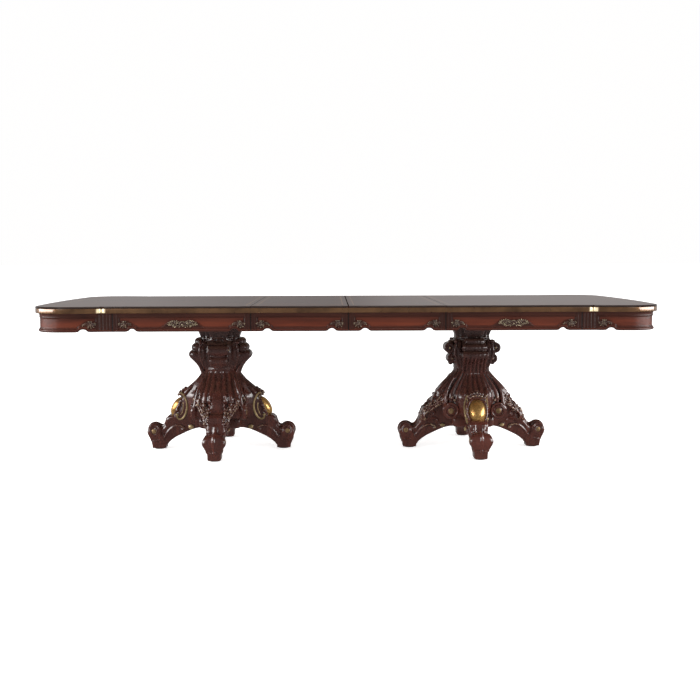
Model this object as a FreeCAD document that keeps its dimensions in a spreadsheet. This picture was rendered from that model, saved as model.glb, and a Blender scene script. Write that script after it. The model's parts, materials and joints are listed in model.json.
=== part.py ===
import FreeCAD, Part
import math
import os

# Double-pedestal extension dining table, set up with both leaves in.
# Millimetres. X runs along the table, Y from front (-) to back (+), Z up.
# The origin is on the floor, under the middle of the top.

os.makedirs("parts", exist_ok=True)
Vec = FreeCAD.Vector
doc = FreeCAD.newDocument("dining_table")

# ---------------------------------------------------------------- dimensions
sheet = doc.addObject("Spreadsheet::Sheet", "Sizes")
ROWS = [
    ("table_height", 787.0, "floor to top face"),
    ("half_length", 1500.0, "middle of the table to the end of the top"),
    ("straight_half", 603.0, "middle line to the straight front edge"),
    ("ear_swell", 32.0, "how far the corner section swells past the straight edge"),
    ("ear_peak", 1330.0, "where the corner section is widest"),
    ("corner_round", 150.0, "corner rounding in plan"),
    ("vee_at", 1149.0, "V joint of the edge band"),
    ("vee_round", 20.0, "rounded shoulders beside the V joint"),
    ("vee_floor", 592.0, "bottom of the V joint, from the middle line"),
    ("leaf_width", 457.2, "one leaf"),
    ("seam_gap", 0.4, "hairline between two top sections"),
    ("top_thick", 32.0, "top section"),
    ("lip_thick", 9.0, "solid lip above the band"),
    ("band_thick", 5.0, "edge band"),
    ("band_high", 22.0, "edge band"),
    ("apron_inset", 18.0, "outer face of the apron, in from the top's edge"),
    ("apron_thick", 22.0, "apron board"),
    ("apron_high", 87.0, "apron board"),
    ("bead_out", 6.0, "bottom bead, proud of the apron"),
    ("bead_high", 12.0, "bottom bead"),
    ("apron_joint", 1100.0, "joint of the straight and the corner apron"),
    ("scallop_wide", 42.0, "notch in the bottom edge"),
    ("scallop_rise", 13.0, "notch in the bottom edge"),
    ("rail_near", 200.0, "grooved rail, near face from the middle line"),
    ("rail_thick", 45.0, "slide rails"),
    ("rail_high", 59.0, "slide rails"),
    ("rail_gap", 0.4, "play between the two rails of a pair"),
    ("rail_reach", 330.0, "how far each rail runs past the middle"),
    ("rail_start", 1150.0, "outer end of the rails"),
    ("batten_high", 25.0, "cross battens"),
    ("batten_wide", 60.0, "cross battens"),
    ("plate_thick", 25.0, "pedestal plate"),
    ("plate_long", 430.0, "pedestal plate along the table"),
    ("plate_wide", 600.0, "pedestal plate across the table"),
    ("pedestal_at", 666.0, "pedestal axis from the middle"),
    ("foot_at", 330.0, "middle of a foot from the pedestal axis"),
    ("pad_thick", 5.0, "foot pad"),
    ("pad_round", 27.0, "foot pad radius"),
    ("bolt_round", 5.0, "bolt shank radius"),
    ("bolt_long", 60.0, "bolt shank"),
    ("bolt_head", 8.5, "bolt head, corner radius"),
    ("medal_tall", 92.0, "oval medallion"),
    ("medal_broad", 68.0, "oval medallion"),
    ("medal_proud", 14.0, "oval medallion"),
    ("latch_arm", 60.0, "latch pivot to keeper post"),
    ("latch_thick", 5.0, "latch lever"),
    ("post_round", 4.0, "pivot pin and keeper post radius"),
]
for i, (alias, number, note) in enumerate(ROWS, start=1):
    sheet.set("A%d" % i, note)
    sheet.set("B%d" % i, repr(number))
    sheet.setAlias("B%d" % i, alias)
doc.recompute()
D = {alias: float(sheet.get(alias)) for alias, _, _ in ROWS}

OUT = []          # the pieces, in the order they are written


def keep(obj, label):
    obj.Label = label
    OUT.append(obj)
    return obj


def bind(obj, prop, value):
    """A number or an expression on the sheet drives the property."""
    obj.setExpression(prop, value if isinstance(value, str) else repr(float(value)))


def ex(text):
    """Write sheet names bare: ex('leaf_width - 2*seam_gap')."""
    for alias in sorted(D, key=len, reverse=True):
        text = text.replace("{" + alias + "}", "Sizes." + alias)
    return text


def box(name, size, at):
    b = doc.addObject("Part::Box", name)
    for prop, v in zip(("Length", "Width", "Height"), size):
        bind(b, prop, ex(v) if isinstance(v, str) else v)
    for prop, v in zip("xyz", at):
        bind(b, "Placement.Base." + prop, ex(v) if isinstance(v, str) else v)
    return b


def cylinder(name, radius, height, at, rot=None):
    c = doc.addObject("Part::Cylinder", name)
    bind(c, "Radius", ex(radius) if isinstance(radius, str) else radius)
    bind(c, "Height", ex(height) if isinstance(height, str) else height)
    if rot is None:
        for prop, v in zip("xyz", at):
            bind(c, "Placement.Base." + prop, ex(v) if isinstance(v, str) else v)
    else:
        c.Placement = FreeCAD.Placement(Vec(*at), rot)
    return c


def compound(name, links):
    c = doc.addObject("Part::Compound", name)
    c.Links = links
    return c


def cut(name, base, tool):
    c = doc.addObject("Part::Cut", name)
    c.Base, c.Tool = base, tool
    return c


def fuse(name, shapes):
    f = doc.addObject("Part::MultiFuse", name)
    f.Shapes = shapes
    f.Refine = True
    return f


def plane(body, role):
    for f in body.Origin.OriginFeatures:
        if f.Role == role:
            return f
    raise RuntimeError(role)


def sketch(body, name, role, offset, edges):
    sk = body.newObject("Sketcher::SketchObject", name)
    sk.AttachmentSupport = [(plane(body, role), "")]
    sk.MapMode = "FlatFace"
    bind(sk, "AttachmentOffset.Base.z", ex(offset) if isinstance(offset, str) else offset)
    sk.addGeometry(edges, False)
    return sk


def pad(body, name, sk, length, back=False):
    p = body.newObject("PartDesign::Pad", name)
    p.Profile = (sk, [""])
    p.Length = 1.0
    p.Reversed = back
    bind(p, "Length", ex(length) if isinstance(length, str) else length)
    return p


def new_body(name):
    return doc.addObject("PartDesign::Body", name)


def arc3(a, b, c):
    return Part.Arc(Vec(a[0], a[1], 0), Vec(b[0], b[1], 0), Vec(c[0], c[1], 0))


def seg2(a, b):
    return Part.LineSegment(Vec(a[0], a[1], 0), Vec(b[0], b[1], 0))


def polygon(points):
    n = len(points)
    return [seg2(points[i], points[(i + 1) % n]) for i in range(n)]


# ------------------------------------------------------- plan of the top's edge
# One quarter of the plan (X > 0, Y > 0), from the seam to the middle of the end:
# straight edge, rounded shoulder, V joint, rounded shoulder, swelling ear, round
# corner, slightly bowed end. Every run is tangent to the next except at the V.
PK = D["straight_half"] + D["ear_swell"]
VR, VX, VF = D["vee_round"], D["vee_at"], D["vee_floor"]
C1 = (VX - math.sqrt(VR ** 2 - (VF - (D["straight_half"] - VR)) ** 2), D["straight_half"] - VR)
A1 = math.atan2(VF - C1[1], VX - C1[0])
C2 = (VX + VR * math.cos(math.radians(20)), VF - VR * math.sin(math.radians(20)))
RE = ((D["ear_peak"] - C2[0]) ** 2 + (PK - C2[1]) ** 2 - VR ** 2) / (2 * (PK - C2[1]) - 2 * VR)
CE = (D["ear_peak"], PK - RE)
AE = math.atan2(C2[1] - CE[1], C2[0] - CE[0])
RC = D["corner_round"]
CC = (D["ear_peak"], PK - RC)
K = D["half_length"] - D["ear_peak"]
REND = (K * K - RC * RC + (PK - RC) ** 2) / (2 * (K - RC))
CX = (D["half_length"] - REND, 0.0)
AC = math.atan2(CC[1], CC[0] - CX[0])


def on(c, r, a):
    return (c[0] + r * math.cos(a), c[1] + r * math.sin(a))


def arc(c, r, a, b):
    return ("A", on(c, r, a), on(c, r, (a + b) / 2), on(c, r, b))


def line(p, q):
    return ("L", p, q)


def long_run(d, start):
    """Straight edge and first shoulder, set in by d, from X = start to the V."""
    y = D["straight_half"] - d
    return [line((start, y), (C1[0], y)), arc(C1, VR - d, math.pi / 2, A1)]


def ear_run(d):
    """Second shoulder, ear and corner, set in by d."""
    return [arc(C2, VR - d, math.radians(160), AE),
            arc(CE, RE - d, AE, math.pi / 2),
            arc(CC, RC - d, math.pi / 2, AC)]


def end_run(d):
    return [arc(CX, REND - d, AC, -AC)]


def flip(run, sx=1, sy=1):
    return [tuple([s[0]] + [(sx * p[0], sy * p[1]) for p in s[1:]]) for s in run]


def back(run):
    return [tuple([s[0]] + list(reversed(s[1:]))) for s in reversed(run)]


def close(runs):
    """Chain runs into one closed loop, joining gaps with straight lines."""
    segs = [s for r in runs for s in r]
    out = []
    for i, s in enumerate(segs):
        out.append(s)
        nxt = segs[(i + 1) % len(segs)]
        if math.dist(s[-1], nxt[1]) > 1e-6:
            out.append(line(s[-1], nxt[1]))
    # snap each start to the end before it
    fixed = []
    for i, s in enumerate(out):
        p = out[i - 1][-1]
        fixed.append(tuple([s[0], p] + list(s[2:])))
    return fixed


def edges(segs):
    made = []
    for s in segs:
        made.append(seg2(s[1], s[2]) if s[0] == "L" else arc3(s[1], s[2], s[3]))
    return made


def half_outline(d, start):
    q = long_run(d, start) + ([] if d == 0 else
                              [line(on(C1, VR - d, A1), on(C2, VR - d, math.radians(160)))]) + ear_run(d)
    return close([q, end_run(d), back(flip(q, 1, -1))])


Z_TOP = D["table_height"]
Z_UNDER = Z_TOP - D["top_thick"]
Z_LIP = Z_TOP - D["lip_thick"]
Z_APRON = Z_UNDER - D["apron_high"]
UNDER = "({table_height} - {top_thick})"
APRON = "({table_height} - {top_thick} - {apron_high})"
FACE = D["straight_half"] - D["apron_inset"]
GAP = D["seam_gap"] / 2
SEAM = D["leaf_width"]


# ------------------------------------------------------------------ top sections
def top_section(name, loop_under, loop_lip):
    body = new_body(name + "_body")
    under = sketch(body, name + "_core_plan", "XY_Plane", UNDER, edges(loop_under))
    pad(body, name + "_core", under, "{top_thick}")
    lip = sketch(body, name + "_lip_plan", "XY_Plane", "{table_height} - {lip_thick}", edges(loop_lip))
    pad(body, name + "_lip", lip, "{lip_thick}")
    return keep(body, name)


def rect_loop(x0, x1, y):
    p = [(x0, -y), (x1, -y), (x1, y), (x0, y)]
    return [line(p[i], p[(i + 1) % 4]) for i in range(4)]


BAND_Z = "({table_height} - {lip_thick} - {band_high})"


def band_body(name, loop):
    body = new_body(name)
    sk = sketch(body, name + "_plan", "XY_Plane", BAND_Z, edges(loop))
    pad(body, name + "_pad", sk, "{band_high}")
    return body


def half_band(side, sx, start):
    bt = D["band_thick"]
    runs = []
    for sy in (-1, 1):
        runs.append(close([flip(long_run(0, start), sx, sy), back(flip(long_run(bt, start), sx, sy))]))
    outer = ear_run(0) + end_run(0) + back(flip(ear_run(0), 1, -1))
    inner = ear_run(bt) + end_run(bt) + back(flip(ear_run(bt), 1, -1))
    runs.append(close([flip(outer, sx), back(flip(inner, sx))]))
    bodies = [band_body("%s_band_%s" % (side, n), r) for n, r in zip(("front", "back", "end"), runs)]
    return keep(compound(side + "_edge_band_set", bodies), side + "_edge_band")


# ------------------------------------------------------------------------ aprons
NOTCH_R = ((D["scallop_wide"] / 2) ** 2 + D["scallop_rise"] ** 2) / (2 * D["scallop_rise"])


def notched(x0, x1, z0, z1, notches):
    """Face of a straight apron, with round-topped notches in its bottom edge."""
    segs, x = [], x0
    hw, rise = D["scallop_wide"] / 2, D["scallop_rise"]
    for n in sorted(notches):
        segs.append(line((x, z0), (n - hw, z0)))
        segs.append(("A", (n - hw, z0), (n, z0 + rise), (n + hw, z0)))
        x = n + hw
    segs += [line((x, z0), (x1, z0)), line((x1, z0), (x1, z1)), line((x1, z1), (x0, z1)), line((x0, z1), (x0, z0))]
    return segs


def bead_face(x0, x1, z0, high, notches):
    """The bead's own strip, stopped at each notch: a list of closed loops."""
    hw, rise = D["scallop_wide"] / 2, D["scallop_rise"]
    cz = z0 + rise - NOTCH_R
    loops, x = [], x0
    reach = math.sqrt(max(NOTCH_R ** 2 - (z0 + high - cz) ** 2, 0.0))
    for n in sorted(notches) + [None]:
        last = x1 if n is None else None
        left_arc = x != x0
        xa = x
        if n is None:
            xb = last
        else:
            xb = n - hw
        loop = []
        loop.append(line((xa, z0), (xb, z0)))
        top_b = xb if n is None else n - reach
        if n is None:
            loop.append(line((xb, z0), (xb, z0 + high)))
        else:
            mid = (n - math.sqrt(NOTCH_R ** 2 - (z0 + high / 2 - cz) ** 2), z0 + high / 2)
            loop.append(("A", (xb, z0), mid, (top_b, z0 + high)))
        if left_arc:
            m = x - hw
            top_a = m + reach
            mid = (m + math.sqrt(NOTCH_R ** 2 - (z0 + high / 2 - cz) ** 2), z0 + high / 2)
            loop.append(line((top_b, z0 + high), (top_a, z0 + high)))
            loop.append(("A", (top_a, z0 + high), mid, (xa, z0)))
        else:
            loop.append(line((top_b, z0 + high), (xa, z0 + high)))
            loop.append(line((xa, z0 + high), (xa, z0)))
        loops.append(loop)
        if n is not None:
            x = n + hw
    return loops


def straight_apron(label, sy, x0, x1, notches):
    """sy = -1 is the front, +1 the back. The board's outer face is at |Y| = FACE."""
    body = new_body(label + "_body")
    z0 = Z_APRON
    face = "({straight_half} - {apron_inset})"
    if sy < 0:
        off, off_b = face + " - {apron_thick}", face
    else:
        off, off_b = "-" + face, "-" + face + " - {bead_out}"
    sk = sketch(body, label + "_face", "XZ_Plane", off, edges(notched(x0, x1, z0, Z_UNDER, notches)))
    pad(body, label + "_board", sk, "{apron_thick}")
    for i, loop in enumerate(bead_face(x0, x1, z0, D["bead_high"], notches)):
        sb = sketch(body, "%s_bead_face_%d" % (label, i), "XZ_Plane", off_b, edges(loop))
        pad(body, "%s_bead_%d" % (label, i), sb, "{bead_out}")
    return keep(body, label)


def apron_path(d):
    """Corner apron's plan line, set in by d: from the apron joint to the end rail."""
    y = D["straight_half"] - d
    x = CE[0] - math.sqrt((RE - d) ** 2 - (y - CE[1]) ** 2)
    a = math.atan2(y - CE[1], x - CE[0])
    return [line((D["apron_joint"] + GAP, y), (x, y)), arc(CE, RE - d, a, math.pi / 2),
            arc(CC, RC - d, math.pi / 2, AC)]


def corner_apron(label, sx, sy):
    body = new_body(label + "_body")
    a, b = D["apron_inset"], D["apron_inset"] + D["apron_thick"]
    loop = close([flip(apron_path(a), sx, sy), back(flip(apron_path(b), sx, sy))])
    sk = sketch(body, label + "_plan", "XY_Plane", APRON, edges(loop))
    pad(body, label + "_board", sk, "{apron_high}")
    loop = close([flip(apron_path(a - D["bead_out"]), sx, sy), back(flip(apron_path(a), sx, sy))])
    sk = sketch(body, label + "_bead_plan", "XY_Plane", APRON, edges(loop))
    pad(body, label + "_bead", sk, "{bead_high}")
    doc.recompute()
    before = body.Shape.Volume
    wide = D["scallop_wide"] + 6
    r = ((wide / 2) ** 2 + D["scallop_rise"] ** 2) / (2 * D["scallop_rise"])
    cz = Z_APRON + D["scallop_rise"] - r
    hole = sketch(body, label + "_notch_face", "XZ_Plane", 0.0,
                  [Part.Circle(Vec(sx * CORNER_NOTCH, cz, 0), Vec(0, 0, 1), r)])
    cutter = body.newObject("PartDesign::Pocket", label + "_notch")
    cutter.Profile = (hole, [""])
    cutter.Type = "ThroughAll"
    cutter.Midplane = True
    doc.recompute()
    assert body.Shape.Volume < before - 1000, label
    return keep(body, label)


def end_apron(label, sx):
    body = new_body(label + "_body")
    a, b = D["apron_inset"], D["apron_inset"] + D["apron_thick"]
    sk = sketch(body, label + "_plan", "XY_Plane", APRON,
                edges(close([flip(end_run(a), sx), back(flip(end_run(b), sx))])))
    pad(body, label + "_board", sk, "{apron_high}")
    sk = sketch(body, label + "_bead_plan", "XY_Plane", APRON,
                edges(close([flip(end_run(a - D["bead_out"]), sx), back(flip(end_run(a), sx))])))
    pad(body, label + "_bead", sk, "{bead_high}")
    return keep(body, label)


# Applied ornaments: low oval carvings. (x, z, half width, half height) on the face.
ORN_Z = 701.0
SMALL, LARGE = (22.0, 17.0), (70.0, 18.0)


def oval(name, at, half, normal, proud=9.0, drop=0.0):
    """Half of a flattened ellipsoid lying on a vertical face with this outward normal."""
    e = doc.addObject("Part::Ellipsoid", name)
    e.Radius1, e.Radius2, e.Radius3 = proud, half[0], half[1]
    e.Angle1 = drop
    n = Vec(*normal)
    e.Placement = FreeCAD.Placement(Vec(*at), FreeCAD.Rotation(Vec(0, 0, 1).cross(n), Vec(0, 0, 1), n, "ZXY"))
    return e


def ovals_on_straight(tag, xs_small, xs_large):
    made = []
    for sy in (-1, 1):
        for i, x in enumerate(xs_small):
            made.append(oval("%s_s%d_%d" % (tag, i, sy + 1), (x, sy * FACE, ORN_Z), SMALL, (0, sy, 0)))
        for i, x in enumerate(xs_large):
            made.append(oval("%s_l%d_%d" % (tag, i, sy + 1), (x, sy * FACE, ORN_Z + 4), LARGE, (0, sy, 0)))
    return made


NOTCH_IN = 78.0          # notch beside a seam
NOTCH_JOINT = 1011.0     # notch beside the apron joint
CORNER_NOTCH = 1232.0    # notch in the corner apron
ORN_IN = 52.0            # ornament beside a seam, an apron joint or the V
MID_ORN = 776.0          # long ornament of an end section


# --------------------------------------------------------------- pedestal shapes
# Radius against height. The side profile of a leg is its silhouette from the side;
# the front profile gives half widths. Both are carried up to the waist.
COLUMN = [(0, 105), (70, 105), (112, 150), (124, 190), (130, 230), (130, 262), (121, 300),
          (108, 345), (97, 385), (93, 414), (97, 434), (104, 448), (104, 590), (98, 594), (99, 606),
          (106, 628), (116, 650), (122, 671), (0, 671)]
COLLAR = [(104, 448), (110, 448), (124, 466), (146, 488), (153, 502), (153, 518), (143, 530), (150, 542),
          (151, 556), (144, 570), (128, 582), (112, 590), (104, 590)]
UNDERSIDE = [(366, 5), (294, 5), (290, 20), (283, 32), (262, 50), (238, 66), (210, 80), (183, 93),
             (152, 106), (120, 114), (90, 117), (0, 117)]
FOOT = [(303, 129), (318, 129), (336, 136), (356, 138), (374, 130), (385, 117), (389, 102), (387, 84),
        (379, 62), (371, 42), (367, 25)]
SIDE_MEDAL = [(0, 412), (104, 412), (114, 394), (134, 369), (158, 347), (183, 326), (204, 306),
              (216, 293), (254, 205), (262, 186), (278, 172), (290, 158), (294, 143)] + FOOT + UNDERSIDE
SIDE_LEAF = [(0, 412), (96, 412), (112, 394), (136, 368), (160, 345), (185, 320), (203, 285), (215, 245),
             (232, 222), (260, 205), (270, 190), (274, 168), (282, 150), (292, 137)] + FOOT + UNDERSIDE
FRONT_MEDAL = [(45, 413), (48, 369), (50, 326), (54, 289), (57, 245), (57, 200), (53, 170), (48, 150),
               (47, 132), (54, 114), (56, 96), (54, 74), (44, 55), (37, 40), (36, 4)]
FRONT_LEAF = [(78, 413), (86, 369), (96, 326), (104, 289), (107, 245), (100, 215), (82, 190), (62, 168),
              (52, 150), (50, 132), (56, 114), (57, 96), (55, 74), (44, 55), (37, 40), (36, 4)]
PLAN_MEDAL = [(0, 0), (60, 58), (400, 58), (400, -58), (60, -58)]
PLAN_LEAF = [(0, 0), (107, 107), (150, 107), (190, 90), (226, 62), (262, 58), (400, 58), (400, -58),
             (262, -58), (226, -62), (190, -90), (150, -107), (107, -107)]


def extrusion(name, face_points, role, start, length):
    """A flat outline in plane 'xz', 'yz' or 'xy', pulled along the third axis."""
    sk = doc.addObject("Sketcher::SketchObject", name + "_outline")
    if role == "xz":
        sk.Placement = FreeCAD.Placement(Vec(0, start, 0), FreeCAD.Rotation(Vec(1, 0, 0), 90))
        direction = Vec(0, 1, 0)
    elif role == "yz":
        sk.Placement = FreeCAD.Placement(Vec(start, 0, 0), FreeCAD.Rotation(Vec(1, 1, 1), 120))
        direction = Vec(1, 0, 0)
    else:
        sk.Placement = FreeCAD.Placement(Vec(0, 0, start), FreeCAD.Rotation())
        direction = Vec(0, 0, 1)
    sk.addGeometry(polygon(face_points), False)
    e = doc.addObject("Part::Extrusion", name)
    e.Base = sk
    e.DirMode = "Custom"
    e.Dir = direction
    e.LengthFwd = length
    e.Solid = True
    return e


def leg_blank(kind, side_points, front_points, plan_points):
    front = front_points + [(-w, z) for w, z in reversed(front_points)]
    a = extrusion(kind + "_side", side_points, "xz", -120.0, 240.0)
    b = extrusion(kind + "_front", front, "yz", -10.0, 420.0)
    c = extrusion(kind + "_spread", plan_points, "xy", 0.0, 500.0)
    common = doc.addObject("Part::MultiCommon", kind + "_blank")
    common.Shapes = [a, b, c]
    return common


def revolve_body(name, points):
    body = new_body(name)
    sk = sketch(body, name + "_profile", "XZ_Plane", 0.0, polygon(points))
    rev = body.newObject("PartDesign::Revolution", name + "_turned")
    rev.Profile = (sk, [""])
    rev.ReferenceAxis = (sk, ["V_Axis"])
    rev.Angle = 360.0
    return body


def core_tool():
    body = revolve_body("leg_seat", COLUMN)
    return body


SEAT = core_tool()
MEDAL_BLANK = leg_blank("medallion_leg", SIDE_MEDAL, FRONT_MEDAL, PLAN_MEDAL)
LEAF_BLANK = leg_blank("foliage_leg", SIDE_LEAF, FRONT_LEAF, PLAN_LEAF)

PLATE_TOP = Z_UNDER - D["rail_high"]
PLATE_LOW = PLATE_TOP - D["plate_thick"]
COLUMN_BOLTS = [(58, 58), (-58, 58), (-58, -58), (58, -58)]


def pedestal(side, sx, rail_y):
    cx = sx * D["pedestal_at"]
    here = "%s{pedestal_at}" % ("-" if sx < 0 else "")
    # left: medallion legs along the table; right: the same pedestal, a quarter turn round
    turn = 0 if sx < 0 else 90

    plate_blank = box(side + "_plate_blank", ("{plate_long}", "{plate_wide}", "{plate_thick}"),
                      (here + " - {plate_long}/2", "-{plate_wide}/2",
                       "{table_height} - {top_thick} - {rail_high} - {plate_thick}"))
    rail_bolts = [(dx, s * (rail_y + D["rail_thick"] / 2)) for dx in (-180, 180) for s in (-1, 1)]
    holes = []
    for i, (x, y) in enumerate(COLUMN_BOLTS):
        holes.append(cylinder("%s_plate_hole_%d" % (side, i), "{bolt_round}", "{plate_thick} + 2",
                              (here + " + %g" % x, float(y),
                               "{table_height} - {top_thick} - {rail_high} - {plate_thick} - 1")))
    for i, (x, y) in enumerate(rail_bolts):
        holes.append(cylinder("%s_plate_slot_%d" % (side, i), "{bolt_round}", "{plate_thick} + 2",
                              (here + " + %g" % x, float(y),
                               "{table_height} - {top_thick} - {rail_high} - {plate_thick} - 1")))
    keep(cut(side + "_plate_cut", plate_blank, compound(side + "_plate_holes", holes)),
         side + "_pedestal_plate")

    # column with four bolt holes down from its top
    body = revolve_body(side + "_column_body", COLUMN)
    doc.recompute()
    before = body.Shape.Volume
    circles = [Part.Circle(Vec(x, y, 0), Vec(0, 0, 1), D["bolt_round"]) for x, y in COLUMN_BOLTS]
    sk = sketch(body, side + "_column_hole_plan", "XY_Plane",
                "{table_height} - {top_thick} - {rail_high} - {plate_thick}", circles)
    pk = body.newObject("PartDesign::Pocket", side + "_column_holes")
    pk.Profile = (sk, [""])
    pk.Length = 1.0
    bind(pk, "Length", ex("{bolt_long} - {plate_thick}"))
    doc.recompute()
    assert before - body.Shape.Volume > 1000, "column holes"
    bind(body, "Placement.Base.x", ex(here))
    keep(body, side + "_pedestal_column")

    ring = revolve_body(side + "_collar_body", COLLAR)
    bind(ring, "Placement.Base.x", ex(here))
    keep(ring, side + "_collar")

    names = {0: "right", 90: "back", 180: "left", 270: "front"}
    for blank, word, first in ((MEDAL_BLANK, "medallion", turn), (LEAF_BLANK, "foliage", turn + 90)):
        for ang in (first % 360, (first + 180) % 360):
            leg = cut("%s_leg_%s_cut" % (side, names[ang]), blank, SEAT)
            leg.Placement = FreeCAD.Placement(Vec(cx, 0, 0), FreeCAD.Rotation(Vec(0, 0, 1), ang))
            bind(leg, "Placement.Base.x", ex(here))
            keep(leg, "%s_%s_leg_%s" % (side, word, names[ang]))

    # oval medallions on the flat seats of the two medallion legs
    p, q = Vec(216, 0, 293), Vec(254, 0, 205)
    mid = p + (q - p) * 0.727
    down = (q - p).normalize()
    normal = Vec(-down.z, 0, down.x)
    lie = FreeCAD.Placement(mid, FreeCAD.Rotation(down, normal.cross(down), normal, "ZXY"))
    gold = []
    for ang in (turn, turn + 180):
        e = doc.addObject("Part::Ellipsoid", "%s_oval_%d" % (side, ang))
        bind(e, "Radius1", ex("{medal_proud}"))
        bind(e, "Radius2", ex("{medal_tall}/2"))
        bind(e, "Radius3", ex("{medal_broad}/2"))
        e.Angle1 = 0.0
        spin = FreeCAD.Placement(Vec(cx, 0, 0), FreeCAD.Rotation(Vec(0, 0, 1), ang))
        e.Placement = spin.multiply(lie)
        gold.append(e)
    keep(compound(side + "_medallion_pair", gold), side + "_medallions")

    pads = []
    for k in range(4):
        a = math.radians(90 * k)
        pads.append(cylinder("%s_pad_%d" % (side, k), "{pad_round}", "{pad_thick}",
                             (here + " + {foot_at}*%g" % round(math.cos(a)),
                              "{foot_at}*%g" % round(math.sin(a)), 0.0)))
    keep(compound(side + "_pad_set", pads), side + "_foot_pads")

    bolts = []
    for i, (x, y) in enumerate(COLUMN_BOLTS + rail_bolts):
        down_bolt = i < 4
        seat = PLATE_TOP if down_bolt else PLATE_LOW
        shank = cylinder("%s_shank_%d" % (side, i), "{bolt_round}", "{bolt_long}",
                         (here + " + %g" % x, float(y),
                          seat - D["bolt_long"] if down_bolt else seat))
        head = doc.addObject("Part::Prism", "%s_head_%d" % (side, i))
        head.Polygon = 6
        bind(head, "Circumradius", ex("{bolt_head}"))
        bind(head, "Height", "6" if down_bolt else "2.5")
        bind(head, "Placement.Base.x", ex(here + " + %g" % x))
        bind(head, "Placement.Base.y", float(y))
        bind(head, "Placement.Base.z", float(seat if down_bolt else seat - 2.5))
        bolts.append(fuse("%s_bolt_%d" % (side, i), [shank, head]))
    keep(compound(side + "_bolt_set", bolts), side + "_pedestal_bolts")
    return rail_bolts, cx


# ------------------------------------------------------------------- half tables
def battens(side, sx, xs):
    """Cross battens in three lengths, so that the slides pass between them."""
    made = []
    inner = D["straight_half"] - D["apron_inset"] - D["apron_thick"]
    for i, x in enumerate(xs):
        for j, (y0, y1) in enumerate(((-inner + 1, -300.0), (-195.0, 195.0), (300.0, inner - 1))):
            made.append(box("%s_batten_%d_%d" % (side, i, j),
                            ("{batten_wide}", y1 - y0, "{batten_high}"),
                            ("%g - {batten_wide}/2" % x, y0, UNDER + " - {batten_high}")))
    return made


def rails(side, sx, rail_bolts, cx):
    """Left rails are grooved, right rails are tongued. Each runs past the middle."""
    made = []
    x0 = -D["rail_start"] if sx < 0 else -D["rail_reach"]
    length = "({rail_start} + {rail_reach})"
    low = Z_UNDER - D["rail_high"]
    near = D["rail_near"] if sx < 0 else D["rail_near"] + D["rail_thick"] + D["rail_gap"]
    for s in (-1, 1):
        y0 = near if s > 0 else -near - D["rail_thick"]
        blank = box("%s_rail_blank_%d" % (side, s + 1), (length, "{rail_thick}", "{rail_high}"),
                    (x0, y0, UNDER + " - {rail_high}"))
        tag = "%s_rail_%d" % (side, s + 1)
        holes = [cylinder("%s_bolt_hole_%d" % (tag, i), "{bolt_round}", "{bolt_long} - {plate_thick}",
                          (cx + bx, by, low)) for i, (bx, by) in enumerate(rail_bolts) if by * s > 0]
        if sx < 0:
            gy = y0 + D["rail_thick"] - 9.0 if s > 0 else y0
            slot = box(tag + "_groove", (length + " + 2", 9.0, 13.0), (x0 - 1, gy, low + 23.5))
            made.append(cut(tag, blank, compound(tag + "_cuts", holes + [slot])))
        else:
            ty = y0 - 8.0 if s > 0 else y0 + D["rail_thick"]
            tongue = box(tag + "_tongue", (length, 8.0, 12.0), (x0, ty, low + 24.0))
            made.append(cut(tag, fuse(tag + "_body", [blank, tongue]), compound(tag + "_cuts", holes)))
    return made


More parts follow.
